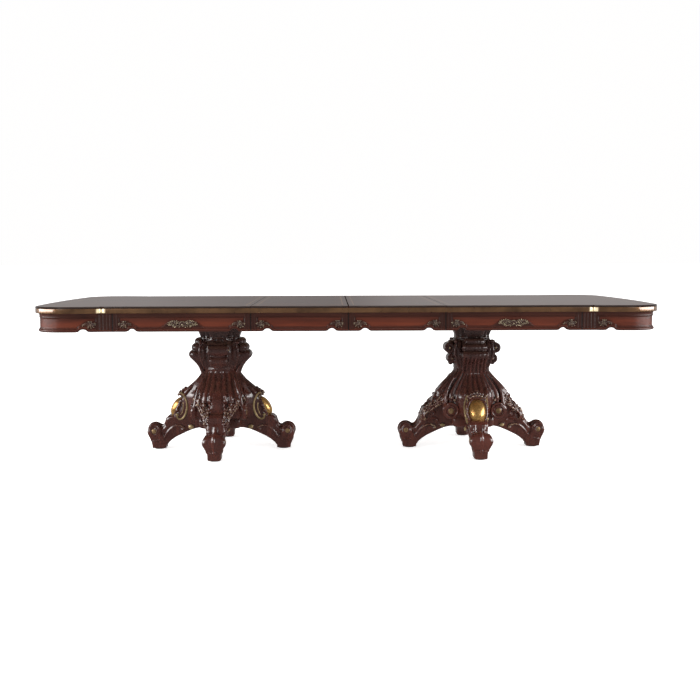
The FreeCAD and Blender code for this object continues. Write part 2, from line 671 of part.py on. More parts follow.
def half_table(side, sx):
    start = SEAM + GAP
    q = lambda d: [tuple([s[0]] + [(sx * p[0], p[1]) for p in s[1:]]) for s in half_outline(d, start)]
    top_section(side + "_top", q(D["band_thick"]), q(0.0))
    half_band(side, sx, start)
    xs = sorted((sx * start, sx * (D["apron_joint"] - GAP)))
    notches = [sx * (SEAM + NOTCH_IN), sx * NOTCH_JOINT]
    for word, sy in (("front", -1), ("back", 1)):
        straight_apron("%s_%s_apron" % (side, word), sy, xs[0], xs[1], notches)
        corner_apron("%s_%s_corner_apron" % (side, word), sx, sy)
    end_apron(side + "_end_apron", sx)

    # ornaments: on the straight aprons, beside the V on the ear, and on the end
    made = ovals_on_straight(side + "_orn", [sx * (SEAM + ORN_IN), sx * (D["apron_joint"] - ORN_IN)],
                             [sx * MID_ORN])
    ra = RE - D["apron_inset"]
    a = math.pi - math.acos((D["ear_peak"] - (VX + ORN_IN)) / ra)
    for sy in (-1, 1):
        n = (sx * math.cos(a), sy * math.sin(a), 0)
        at = (sx * (CE[0] + ra * math.cos(a)), sy * (CE[1] + ra * math.sin(a)), ORN_Z)
        made.append(oval("%s_orn_ear_%d" % (side, sy + 1), at, SMALL, n, drop=-90.0))
    rb = REND - D["apron_inset"]
    for i, (y, half) in enumerate(((-402.0, SMALL), (0.0, LARGE), (402.0, SMALL))):
        b = math.asin(y / rb)
        at = (sx * (CX[0] + rb * math.cos(b)), rb * math.sin(b), ORN_Z)
        made.append(oval("%s_orn_end_%d" % (side, i), at, half, (sx * math.cos(b), math.sin(b), 0), drop=-90.0))
    boards = [o for o in OUT if o.Label.startswith(side) and o.Label.endswith("apron")
              and ("corner" in o.Label or "end" in o.Label)]
    curved = [m for m in made if "_orn_ear" in m.Name or "_orn_end" in m.Name]
    flat = [m for m in made if m not in curved]
    trimmed = []
    for m in curved:
        word = "end_apron" if "_orn_end" in m.Name else \
            ("front_corner_apron" if m.Name.endswith("_0") else "back_corner_apron")
        board = [o for o in boards if o.Label == "%s_%s" % (side, word)][0]
        trimmed.append(cut(m.Name + "_trim", m, board))
    keep(compound(side + "_ornament_set", flat + trimmed), side + "_apron_carvings")

    inner = FACE - D["apron_thick"]
    blocks = []
    for sy in (-1, 1):
        y0 = sy * inner - (22.0 if sy > 0 else 0.0)
        blocks.append(box("%s_block_%d" % (side, sy + 1), (56.0, 22.0, 70.0),
                          (sx * D["apron_joint"] - 28.0, y0, UNDER + " - 70")))
    # the battens and the blocks behind the apron joints are the same stock
    keep(compound(side + "_batten_set", battens(side, sx, [sx * 600.0, sx * 1220.0]) + blocks),
         side + "_battens_and_blocks")
    rail_y = D["rail_near"] if sx < 0 else D["rail_near"] + D["rail_thick"] + D["rail_gap"]
    rail_bolts, cx = pedestal(side, sx, rail_y)
    keep(compound(side + "_rail_set", rails(side, sx, rail_bolts, cx)), side + "_slide_rails")


def leaf(name, x0, x1):
    a, b = x0 + GAP, x1 - GAP
    top_section(name + "_top", rect_loop(a, b, D["straight_half"] - D["band_thick"]),
                rect_loop(a, b, D["straight_half"]))
    strips = []
    for s in (-1, 1):
        y = "{straight_half} - {band_thick}" if s > 0 else "-{straight_half}"
        strips.append(box("%s_band_%d" % (name, s + 1), ("{leaf_width} - {seam_gap}", "{band_thick}", "{band_high}"),
                          (a, y, BAND_Z)))
    keep(compound(name + "_band_pair", strips), name + "_edge_bands")
    for word, sy in (("front", -1), ("back", 1)):
        straight_apron("%s_%s_apron" % (name, word), sy, a, b, [x0 + NOTCH_IN, x1 - NOTCH_IN])
    keep(compound(name + "_ornament_set", ovals_on_straight(name + "_orn", [x0 + ORN_IN, x1 - ORN_IN], [])),
         name + "_apron_carvings")
    keep(compound(name + "_batten_set", battens(name, 0, [x0 + 96.0, x1 - 96.0])), name + "_battens")


# ------------------------------------------------------------------ seam latches
# A lever on one section swings a quarter turn under the seam, and its curved slot
# takes the post on the next section. Here every lever stands open, along the seam.
PIVOT_IN = D["latch_arm"] / 2


def pinned_plate(name, x, high_plate=3.0, wide=44.0):
    """Plate screwed under the top, with a headed pin for a lever or a hook."""
    zt = Z_UNDER
    plate = box(name + "_plate", (wide, 40.0, high_plate), (x - wide / 2, -20.0, zt - high_plate))
    pin = cylinder(name + "_pin", "{post_round}", 10.0, (x, 0.0, zt - high_plate - 10.0))
    head = cylinder(name + "_head", 7.0, 3.0, (x, 0.0, zt - high_plate - 13.0))
    return fuse(name, [plate, pin, head])


def lever(label, x):
    """Arm along +Y from the pivot, with the slot open towards the seam."""
    z = Z_UNDER - 3.0 - 7.5
    arm, r = D["latch_arm"], D["post_round"]
    disc = cylinder(label + "_disc", 13.0, "{latch_thick}", (x, 0.0, z))
    bar = box(label + "_bar", (22.0, arm + 12.0, "{latch_thick}"), (x - 11.0, 0.0, z))
    tab = cylinder(label + "_tab", 11.0, "{latch_thick}", (x, arm + 12.0, z))
    blank = fuse(label + "_blank", [disc, bar, tab])
    hole = cylinder(label + "_hole", r + 0.3, 20.0, (x, 0.0, z - 5))
    # curved slot: the ring that the post runs through, from the leading edge to the middle
    outer = cylinder(label + "_slot_out", arm + r + 0.6, 20.0, (x, 0.0, z - 5))
    inner = cylinder(label + "_slot_in", arm - r - 0.6, 20.0, (x, 0.0, z - 5))
    ring = cut(label + "_ring", outer, inner)
    half = box(label + "_lead", (40.0, arm + 30.0, 20.0), (x, 0.0, z - 5))
    lane = doc.addObject("Part::MultiCommon", label + "_lane")
    lane.Shapes = [ring, half]
    seat = cylinder(label + "_seat", r + 0.6, 20.0, (x, arm, z - 5))
    return keep(cut(label + "_cut", blank, compound(label + "_cuts", [hole, fuse(label + "_slot", [lane, seat])])),
                label)


def latch_x(seam, sign):
    return seam + sign * PIVOT_IN


half_table("left", -1)
half_table("right", 1)
leaf("left_leaf", -SEAM, 0.0)
leaf("right_leaf", 0.0, SEAM)

lever("left_latch_lever", latch_x(-SEAM, -1))
lever("middle_latch_lever", latch_x(0.0, -1))
lever("right_latch_lever", latch_x(SEAM, -1))
keep(pinned_plate("left_base", latch_x(-SEAM, -1)), "left_latch_base")
keep(compound("left_leaf_fittings", [pinned_plate("left_leaf_keeper", latch_x(-SEAM, 1)),
                                     pinned_plate("left_leaf_base", latch_x(0.0, -1))]),
     "left_leaf_latch_fittings")
keep(compound("right_leaf_fittings", [pinned_plate("right_leaf_keeper", latch_x(0.0, 1)),
                                      pinned_plate("right_leaf_base", latch_x(SEAM, -1))]),
     "right_leaf_latch_fittings")
keep(pinned_plate("right_keeper", latch_x(SEAM, 1)), "right_latch_keeper")

# --------------------------------------------------------------------- write out
doc.recompute()
bad = [o.Label for o in doc.Objects if "Invalid" in o.State or "Error" in o.State]
if bad:
    raise SystemExit("failed objects: %s" % bad)
for o in OUT:
    if o.Shape.isNull() or not o.Shape.isValid() or not o.Shape.Solids:
        raise SystemExit("bad shape: %s" % o.Label)
labels = [o.Label for o in OUT]
assert len(set(labels)) == len(labels) and len(labels) <= 60, len(labels)
for old in os.listdir("parts"):
    if old.endswith(".step") and old[:-5] not in labels:
        os.remove(os.path.join("parts", old))
total = 0.0
for o in OUT:
    o.Shape.exportStep(os.path.join("parts", o.Label + ".step"))
    bb = o.Shape.BoundBox
    total += o.Shape.Volume
    print("%-28s %2d solids  x %8.1f %8.1f  y %7.1f %7.1f  z %6.1f %6.1f  vol %9.0f" % (
        o.Label, len(o.Shape.Solids), bb.XMin, bb.XMax, bb.YMin, bb.YMax, bb.ZMin, bb.ZMax, o.Shape.Volume / 1000))
print(len(OUT), "pieces, %.0f cm3" % (total / 1000))
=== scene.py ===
import bpy
import json
import math
import numpy as np
from mathutils import Matrix, Vector

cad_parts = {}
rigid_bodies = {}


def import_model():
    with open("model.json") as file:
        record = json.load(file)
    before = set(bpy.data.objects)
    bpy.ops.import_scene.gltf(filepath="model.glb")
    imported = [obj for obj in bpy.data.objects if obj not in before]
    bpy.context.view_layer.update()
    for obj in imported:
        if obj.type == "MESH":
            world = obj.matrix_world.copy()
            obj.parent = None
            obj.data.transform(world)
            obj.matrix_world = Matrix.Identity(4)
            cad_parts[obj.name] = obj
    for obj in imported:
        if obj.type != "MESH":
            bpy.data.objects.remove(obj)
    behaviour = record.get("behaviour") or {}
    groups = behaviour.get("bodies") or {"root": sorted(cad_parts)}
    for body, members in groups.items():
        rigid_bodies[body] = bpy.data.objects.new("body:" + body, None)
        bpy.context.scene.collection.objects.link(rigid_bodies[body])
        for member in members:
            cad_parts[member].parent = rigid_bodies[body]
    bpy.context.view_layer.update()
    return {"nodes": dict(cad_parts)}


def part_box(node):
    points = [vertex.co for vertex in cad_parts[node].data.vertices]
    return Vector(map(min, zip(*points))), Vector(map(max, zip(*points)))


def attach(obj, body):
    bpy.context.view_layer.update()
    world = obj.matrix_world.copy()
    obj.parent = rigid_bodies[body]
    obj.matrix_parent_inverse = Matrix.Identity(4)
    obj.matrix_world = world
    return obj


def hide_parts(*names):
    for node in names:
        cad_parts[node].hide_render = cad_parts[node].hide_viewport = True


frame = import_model()
SCENE = bpy.context.scene
MM = 0.001


# ------------------------------------------------------------------ mesh tools
def make_object(name, verts, faces, mats, smooth_angle=45.0, face_mat=None, attrs=None):
    """verts in millimetres, faces as an (n, 4) array of quads, a list of polygons, or both in a tuple."""
    me = bpy.data.meshes.new(name)
    verts = np.asarray(verts, np.float64) * MM
    quads, polys = (faces if isinstance(faces, tuple) else
                    ((faces, []) if isinstance(faces, np.ndarray) else (np.zeros((0, 4), int), faces)))
    nq = len(quads)
    loops = np.concatenate([np.asarray(quads, np.int64).reshape(-1)] +
                           [np.asarray(p, np.int64) for p in polys]) if nq or polys else np.zeros(0, int)
    sizes = np.concatenate([np.full(nq, 4, np.int64), np.array([len(p) for p in polys], np.int64)])
    starts = np.concatenate([[0], np.cumsum(sizes)[:-1]]) if len(sizes) else np.zeros(0, int)
    me.vertices.add(len(verts))
    me.vertices.foreach_set("co", verts.astype(np.float32).reshape(-1))
    me.loops.add(len(loops))
    me.loops.foreach_set("vertex_index", loops.astype(np.int32))
    me.polygons.add(len(sizes))
    me.polygons.foreach_set("loop_start", starts.astype(np.int32))
    me.polygons.foreach_set("loop_total", sizes.astype(np.int32))
    if face_mat is not None:
        me.polygons.foreach_set("material_index", np.asarray(face_mat, np.int32))
    me.update(calc_edges=True)
    me.validate()
    for m in (mats if isinstance(mats, (list, tuple)) else [mats]):
        me.materials.append(m)
    for key, val in (attrs or {}).items():
        a = me.attributes.new(key, "FLOAT", "POINT")
        a.data.foreach_set("value", np.asarray(val, np.float32))
    me.polygons.foreach_set("use_smooth", np.ones(len(me.polygons), bool))
    me.set_sharp_from_angle(angle=math.radians(smooth_angle))
    ob = bpy.data.objects.new(name, me)
    SCENE.collection.objects.link(ob)
    return ob


class Soup:
    """Collects mesh parts that become one object."""

    def __init__(self):
        self.v, self.q, self.p, self.a = [], [], [], {}
        self.n = 0

    def add(self, verts, quads=None, polys=None, flip=False, **attrs):
        verts = np.asarray(verts, float)
        if quads is not None and len(quads):
            q = np.asarray(quads, np.int64)
            self.q.append((q[:, ::-1] if flip else q) + self.n)
        for p in polys or []:
            p = np.asarray(p, np.int64)
            self.p.append((p[::-1] if flip else p) + self.n)
        for key in set(self.a) | set(attrs):
            if key not in self.a:
                self.a[key] = [np.zeros(self.n)]
            val = attrs.get(key, 0.0)
            self.a[key].append(np.broadcast_to(np.asarray(val, float), (len(verts),)))
        self.v.append(verts)
        self.n += len(verts)

    def build(self, name, mats, smooth_angle=45.0):
        v = np.concatenate(self.v)
        q = np.concatenate(self.q) if self.q else np.zeros((0, 4), np.int64)
        attrs = {k: np.concatenate(x) for k, x in self.a.items()}
        return make_object(name, v, (q, self.p), mats, smooth_angle, attrs=attrs)


def ring_quads(n, m, closed=True, start=0):
    """Quads between m rings of n points each, ring after ring."""
    i = np.arange(n if closed else n - 1)
    j = (i + 1) % n
    out = []
    for k in range(m - 1):
        a = start + k * n
        out.append(np.stack([a + i, a + j, a + n + j, a + n + i], 1))
    return np.concatenate(out)


def catmull(points, per=8, closed=False):
    p = np.asarray(points, float)
    n = len(p)
    out = []
    span = n if closed else n - 1
    for i in range(span):
        if closed:
            a, b, c, d = p[(i - 1) % n], p[i], p[(i + 1) % n], p[(i + 2) % n]
        else:
            b, c = p[i], p[i + 1]
            a = p[i - 1] if i else 2 * b - c
            d = p[i + 2] if i + 2 < n else 2 * c - b
        for t in np.arange(per) / per:
            out.append(0.5 * (2 * b + (c - a) * t + (2 * a - 5 * b + 4 * c - d) * t * t + (3 * b - a - 3 * c + d) * t ** 3))
    if not closed:
        out.append(p[-1])
    return np.array(out)


def tube(points, radius, sides=10, closed=False):
    """A round tube along points; radius is a number or one per point. Returns verts, quads, polys."""
    p = np.asarray(points, float)
    n = len(p)
    r = np.broadcast_to(np.asarray(radius, float), (n,))
    tan = np.roll(p, -1, 0) - np.roll(p, 1, 0) if closed else np.gradient(p, axis=0)
    tan /= np.linalg.norm(tan, axis=1)[:, None] + 1e-12
    up = np.array([0.0, 0, 1]) if abs(tan[0][2]) < 0.9 else np.array([1.0, 0, 0])
    u = np.cross(tan[0], up)
    u /= np.linalg.norm(u)
    frames = []
    for t in tan:
        u = u - t * (u @ t)
        u /= np.linalg.norm(u) + 1e-12
        frames.append((u.copy(), np.cross(t, u)))
    ang = np.linspace(0, 2 * math.pi, sides, endpoint=False)
    v = np.concatenate([c + rr * (np.outer(np.cos(ang), a) + np.outer(np.sin(ang), b))
                        for c, rr, (a, b) in zip(p, r, frames)])
    q = ring_quads(sides, n)
    polys = []
    if closed:
        i = np.arange(sides)
        j = (i + 1) % sides
        a = (n - 1) * sides
        q = np.concatenate([q, np.stack([a + i, a + j, j, i], 1)])
    else:
        polys = [list(range(sides))[::-1], [(n - 1) * sides + i for i in range(sides)]]
    return v, q, polys


# ------------------------------------------------------- solid fields and nets
def smin(a, b, k):
    if k <= 0:
        return np.minimum(a, b)
    h = np.clip(0.5 + 0.5 * (b - a) / k, 0, 1)
    return b + (a - b) * h - k * h * (1 - h)


def sstep(x, a, b):
    t = np.clip((x - a) / (b - a), 0, 1)
    return t * t * (3 - 2 * t)


class Vol:
    """A signed field on a grid, negative inside, in millimetres."""

    def __init__(self, lo, hi, step):
        self.h = step
        self.lo = np.array(lo, float)
        self.ax = [(lo[i] + step * np.arange(int(round((hi[i] - lo[i]) / step)) + 1)).astype(np.float32) for i in range(3)]
        self.F = np.full([len(a) for a in self.ax], 60.0, np.float32)

    def part(self, lo, hi, pad):
        sl = []
        for i in range(3):
            a = int(np.searchsorted(self.ax[i], lo[i] - pad))
            b = int(np.searchsorted(self.ax[i], hi[i] + pad))
            if b <= a:
                return None
            sl.append(slice(a, b))
        g = (self.ax[0][sl[0]][:, None, None], self.ax[1][sl[1]][None, :, None], self.ax[2][sl[2]][None, None, :])
        return tuple(sl), g

    def add(self, fn, lo, hi, k=3.0, pad=14):
        got = self.part(lo, hi, pad)
        if got:
            sl, g = got
            self.F[sl] = smin(self.F[sl], fn(*g).astype(np.float32), k)

    def cut(self, fn, lo, hi, k=2.0, pad=10):
        got = self.part(lo, hi, pad)
        if got:
            sl, g = got
            self.F[sl] = -smin(-self.F[sl], fn(*g).astype(np.float32), k)

    def ball(self, c, r, k=2.5, rot=None, cut=False):
        """An ellipsoid with radii r, turned by the 3x3 matrix rot whose rows are its own axes."""
        c, r = np.asarray(c, float), np.broadcast_to(np.asarray(r, float), (3,))
        big = float(r.max()) + 1

        def fn(X, Y, Z):
            x, y, z = X - c[0], Y - c[1], Z - c[2]
            if rot is not None:
                x, y, z = (rot[0][0] * x + rot[0][1] * y + rot[0][2] * z,
                           rot[1][0] * x + rot[1][1] * y + rot[1][2] * z,
                           rot[2][0] * x + rot[2][1] * y + rot[2][2] * z)
            k0 = np.sqrt((x / r[0]) ** 2 + (y / r[1]) ** 2 + (z / r[2]) ** 2)
            k1 = np.sqrt((x / r[0] ** 2) ** 2 + (y / r[1] ** 2) ** 2 + (z / r[2] ** 2) ** 2) + 1e-6
            return k0 * (k0 - 1) / k1
        (self.cut if cut else self.add)(fn, c - big, c + big, k)

    def rod(self, a, b, ra, rb=None, k=2.5, cut=False):
        a, b = np.asarray(a, float), np.asarray(b, float)
        rb = ra if rb is None else rb
        d = b - a
        L = float(d @ d) + 1e-9

        def fn(X, Y, Z):
            x, y, z = X - a[0], Y - a[1], Z - a[2]
            t = np.clip((x * d[0] + y * d[1] + z * d[2]) / L, 0, 1)
            return np.sqrt((x - t * d[0]) ** 2 + (y - t * d[1]) ** 2 + (z - t * d[2]) ** 2) - (ra + (rb - ra) * t)
        m = max(ra, rb)
        (self.cut if cut else self.add)(fn, np.minimum(a, b) - m, np.maximum(a, b) + m, k)

    def string(self, points, ra, rb=None, k=2.0, cut=False):
        pts = np.asarray(points, float)
        n = len(pts) - 1
        rb = ra if rb is None else rb
        for i in range(n):
            self.rod(pts[i], pts[i + 1], ra + (rb - ra) * i / n, ra + (rb - ra) * (i + 1) / n, k, cut)

    def net(self):
        """Vertices in millimetres and quads of the zero surface."""
        F, s = self.F, self.F < 0
        c = np.zeros([n - 1 for n in F.shape], np.int8)
        for dx in (0, 1):
            for dy in (0, 1):
                for dz in (0, 1):
                    c += s[dx:F.shape[0] - 1 + dx, dy:F.shape[1] - 1 + dy, dz:F.shape[2] - 1 + dz]
        act = (c > 0) & (c < 8)
        idx = np.full(act.shape, -1, np.int32)
        ii, jj, kk = np.nonzero(act)
        idx[ii, jj, kk] = np.arange(len(ii))
        acc, cnt = np.zeros((len(ii), 3)), np.zeros(len(ii))
        corners = [(x, y, z) for x in (0, 1) for y in (0, 1) for z in (0, 1)]
        for a in corners:
            for ax in range(3):
                if a[ax]:
                    continue
                b = list(a)
                b[ax] = 1
                fa = F[ii + a[0], jj + a[1], kk + a[2]]
                fb = F[ii + b[0], jj + b[1], kk + b[2]]
                m = (fa < 0) != (fb < 0)
                t = fa[m] / (fa[m] - fb[m])
                pt = np.tile(np.array(a, float), (m.sum(), 1))
                pt[:, ax] += t
                acc[m] += pt
                cnt[m] += 1
        v = (np.stack([ii, jj, kk], 1) + acc / cnt[:, None]) * self.h + self.lo
        quads = []
        for ax in range(3):
            lo, hi = [slice(1, -1)] * 3, [slice(1, -1)] * 3
            lo[ax], hi[ax] = slice(0, -1), slice(1, None)
            m = s[tuple(lo)] != s[tuple(hi)]
            e = list(np.nonzero(m))
            inside = s[tuple(lo)][tuple(e)]
            base = [e[i] + (0 if i == ax else 1) for i in range(3)]
            u, w = (ax + 1) % 3, (ax + 2) % 3

            def cell(du, dw):
                q = list(base)
                q[u], q[w] = q[u] - du, q[w] - dw
                return idx[q[0], q[1], q[2]]
            quad = np.stack([cell(1, 1), cell(0, 1), cell(0, 0), cell(1, 0)], 1)
            quad[~inside] = quad[~inside][:, ::-1]
            quads.append(quad)
        return v, np.concatenate(quads)


def net_edges(q):
    """The net's edges, each once, as an (n, 2) array."""
    e = np.concatenate([q[:, [0, 1]], q[:, [1, 2]], q[:, [2, 3]], q[:, [3, 0]]])
    e.sort(axis=1)
    key = np.unique(e[:, 0].astype(np.int64) * (q.max() + 1) + e[:, 1])
    return np.stack([key // (q.max() + 1), key % (q.max() + 1)], 1)


def spread(values, e, n):
    """The sum over each vertex's neighbours, and how many there are."""
    cnt = np.bincount(e[:, 0], minlength=n) + np.bincount(e[:, 1], minlength=n)
    acc = np.stack([np.bincount(e[:, 0], values[e[:, 1], c], n) + np.bincount(e[:, 1], values[e[:, 0], c], n)
                    for c in range(values.shape[1])], 1)
    return acc, cnt


def relax(v, e, rounds=1, amount=0.5):
    for _ in range(rounds):
        acc, cnt = spread(v, e, len(v))
        v = v + amount * (acc / np.maximum(cnt, 1)[:, None] - v)
    return v


def vertex_normals(v, q):
    n = np.cross(v[q[:, 2]] - v[q[:, 0]], v[q[:, 3]] - v[q[:, 1]])
    out = np.zeros_like(v)
    for k in range(4):
        for c in range(3):
            out[:, c] += np.bincount(q[:, k], n[:, c], len(v))
    return out / (np.linalg.norm(out, axis=1)[:, None] + 1e-12)


def cavity(v, q, reach=4, scale=1.0):
    """Above 0.5 on ridges, below in hollows: how far each vertex stands out of its smoothed surroundings."""
    e = net_edges(q)
    s = relax(v, e, reach, 0.9)
    d = ((v - s) * vertex_normals(v, q)).sum(1) / scale
    for _ in range(2):
        acc, cnt = spread(d[:, None], e, len(d))
        d = (d + acc[:, 0]) / (1 + cnt)
    return np.clip(0.5 + 0.5 * d, 0, 1)


def mirror_net(v, q, ax):
    """Adds the mirror image across the plane where coordinate ax is 0; vertices on it are shared."""
    v = v.copy()
    on = np.abs(v[:, ax]) < 1e-3
    v[on, ax] = 0.0
    other = np.arange(len(v))
    other[~on] = len(v) + np.arange((~on).sum())
    v2 = v[~on].copy()
    v2[:, ax] *= -1
    return np.concatenate([v, v2]), np.concatenate([q, other[q][:, ::-1]])


def polygon_field(points, R, Z):
    """Signed distance to a polygon given as (r, z) points, on broadcastable arrays."""
    pts = np.asarray(points, float)
    best = np.full(np.broadcast(R, Z).shape, 1e9, np.float32)
    inside = np.zeros(best.shape, bool)
    n = len(pts)
    for i in range(n):
        a, b = pts[i], pts[(i + 1) % n]
        e = b - a
        x, y = R - a[0], Z - a[1]
        t = np.clip((x * e[0] + y * e[1]) / (e @ e + 1e-9), 0, 1)
        best = np.minimum(best, (x - e[0] * t) ** 2 + (y - e[1] * t) ** 2)
        c = ((a[1] > Z) != (b[1] > Z)) & (R < e[0] * (Z - a[1]) / (e[1] if abs(e[1]) > 1e-9 else 1e-9) + a[0])
        inside ^= c
    return np.where(inside, -1, 1) * np.sqrt(best)


# -------------------------------------------------------------------- materials
def new_material(name):
    m = bpy.data.materials.new(name)
    m.use_nodes = True
    nt = m.node_tree
    nt.nodes.clear()
    out = nt.nodes.new("ShaderNodeOutputMaterial")
    b = nt.nodes.new("ShaderNodeBsdfPrincipled")
    nt.links.new(b.outputs[0], out.inputs["Surface"])
    return m, nt, b


def node(nt, kind, **inputs):
    n = nt.nodes.new(kind)
    for k, v in inputs.items():
        if k.startswith("_"):
            setattr(n, k[1:], v)
        else:
            n.inputs[k].default_value = v
    return n


def ramp(nt, stops):
    r = nt.nodes.new("ShaderNodeValToRGB")
    e = r.color_ramp.elements
    while len(e) > 1:
        e.remove(e[-1])
    e[0].position, e[0].color = stops[0][0], (*stops[0][1], 1)
    for pos, col in stops[1:]:
        x = e.new(pos)
        x.color = (*col, 1)
    return r


def math_node(nt, op, a, b=None, clamp=False):
    n = nt.nodes.new("ShaderNodeMath")
    n.operation = op
    n.use_clamp = clamp
    for i, x in enumerate((a, b)):
        if x is None:
            continue
        if isinstance(x, (int, float)):
            n.inputs[i].default_value = x
        else:
            nt.links.new(x, n.inputs[i])
    return n.outputs[0]


def mix_color(nt, fac, a, b, mode="MIX"):
    n = nt.nodes.new("ShaderNodeMix")
    n.data_type = "RGBA"
    n.blend_type = mode
    n.clamp_factor = True
    for key, x in (("Factor", fac), ("A", a), ("B", b)):
        sock = [s for s in n.inputs if s.name == key and (s.type == "RGBA" or key == "Factor" and s.type == "VALUE")][0]
        if isinstance(x, (int, float)):
            sock.default_value = x
        elif isinstance(x, tuple):
            sock.default_value = (*x, 1)
        else:
            nt.links.new(x, sock)
    return [s for s in n.outputs if s.type == "RGBA"][0]


def mapped(nt, scale, rot=(0, 0, 0), loc=(0, 0, 0)):
    tc = nt.nodes.new("ShaderNodeTexCoord")
    mp = nt.nodes.new("ShaderNodeMapping")
    mp.inputs["Scale"].default_value = scale
    mp.inputs["Rotation"].default_value = rot
    mp.inputs["Location"].default_value = loc
    nt.links.new(tc.outputs["Object"], mp.inputs["Vector"])
    return mp.outputs[0]


def noise(nt, vec, scale, detail=4.0, rough=0.55, distort=0.0):
    n = node(nt, "ShaderNodeTexNoise", Scale=scale, Detail=detail, Roughness=rough, Distortion=distort)
    nt.links.new(vec, n.inputs["Vector"])
    return n.outputs["Fac"]


def bump(nt, height, strength, distance, bsdf):
    b = node(nt, "ShaderNodeBump", Strength=strength, Distance=distance)
    nt.links.new(height, b.inputs["Height"])
    nt.links.new(b.outputs[0], bsdf.inputs["Normal"])


def attribute(nt, name):
    a = nt.nodes.new("ShaderNodeAttribute")
    a.attribute_name = name
    return a.outputs["Fac"]


def grain_material(name, along, dark, mid, light, rough, coat, use_cavity=False, fine=1.0, bump_mm=0.05, gild_and_glint=None,
                   hollow_shade=(0.012, 0.006, 0.005), coat_rough=0.07, quiet=None, shade=None, lift=1.0, pores=2.6, level=0.5,
                   deep=4.0):
    """Stained wood. along = 0, 1 or 2: the axis that the grain follows. quiet is the darker stain of the mouldings
    round a field, reached also as painted shade where the field fades, and shade = (low, high, colour) paints shade
    that deepens with height."""
    m, nt, b = new_material(name)
    sc = [34.0 * fine, 34.0 * fine, 34.0 * fine]
    sc[along] = 2.2 * fine
    vec = mapped(nt, tuple(sc))
    streak = noise(nt, vec, 1.0, 6.0, 0.62, 0.35)
    sc2 = [210.0 * fine, 210.0 * fine, 210.0 * fine]
    sc2[along] = 7.0 * fine
    pore = noise(nt, mapped(nt, tuple(sc2)), 1.0, 3.0, 0.6)
    cloud = noise(nt, mapped(nt, (2.1, 2.1, 2.1)), 1.0, 2.0, 0.5)
    r = ramp(nt, [(0.28, dark), (0.5, mid), (0.74, light)])
    nt.links.new(streak, r.inputs["Fac"])
    col = mix_color(nt, math_node(nt, "MULTIPLY", math_node(nt, "SUBTRACT", cloud, 0.42), 1.4, True), r.outputs[0], light)
    col = mix_color(nt, math_node(nt, "MULTIPLY", math_node(nt, "SUBTRACT", 0.45, pore), pores, True), col, dark)
    if quiet:
        off = math_node(nt, "SUBTRACT", 1.0, attribute(nt, "field"), True)
        col = mix_color(nt, math_node(nt, "MULTIPLY", off, 0.82), col, quiet)
    if shade:
        # painted shade: darker with height
        tc = nt.nodes.new("ShaderNodeTexCoord")
        sep = nt.nodes.new("ShaderNodeSeparateXYZ")
        nt.links.new(tc.outputs["Object"], sep.inputs[0])
        up = math_node(nt, "DIVIDE", math_node(nt, "SUBTRACT", sep.outputs["Z"], shade[0]), shade[1] - shade[0], True)
        col = mix_color(nt, math_node(nt, "MULTIPLY", up, 0.72), col, shade[2])
    if use_cavity:
        # painted shade: the hollows are darkened towards the dark colour; painted highlight: the raised parts are
        # lightened
        cav = attribute(nt, "cav")
        low = math_node(nt, "MULTIPLY", math_node(nt, "SUBTRACT", 0.46, cav), deep, True)
        col = mix_color(nt, low, col, hollow_shade)
        high = math_node(nt, "MULTIPLY", math_node(nt, "SUBTRACT", cav, 0.58), 2.0 * lift, True)
        col = mix_color(nt, high, col, tuple(min(1.0, c * 1.25) for c in light))
        if gild_and_glint:
            # gold on the raised parts where the attribute gilt is high, broken up by noise: partly gilding, partly
            # painted glints on the tips
            g = math_node(nt, "MULTIPLY", math_node(nt, "SUBTRACT", cav, gild_and_glint[0]), 5.0, True)
            g = math_node(nt, "MULTIPLY", g, attribute(nt, "gilt"), True)
            painted_glint = noise(nt, mapped(nt, (150, 150, 150)), 1.0, 3.0)
            gilt_glint = math_node(nt, "MULTIPLY", g, math_node(nt, "MULTIPLY", math_node(nt, "SUBTRACT", painted_glint, gild_and_glint[1]), 7.0, True), True)
            col = mix_color(nt, gilt_glint, col, gild_and_glint[2])
            nt.links.new(math_node(nt, "MULTIPLY", gilt_glint, 0.8), b.inputs["Metallic"])
    nt.links.new(col, b.inputs["Base Color"])
    rr = math_node(nt, "ADD", math_node(nt, "MULTIPLY", streak, 0.10), rough - 0.05)
    nt.links.new(rr, b.inputs["Roughness"])
    b.inputs["Coat Weight"].default_value = coat
    b.inputs["Coat Roughness"].default_value = coat_rough
    b.inputs["Coat IOR"].default_value = 1.5
    b.inputs["Specular IOR Level"].default_value = level
    if bump_mm:
        bump(nt, pore, 0.5, bump_mm * MM, b)
    return m


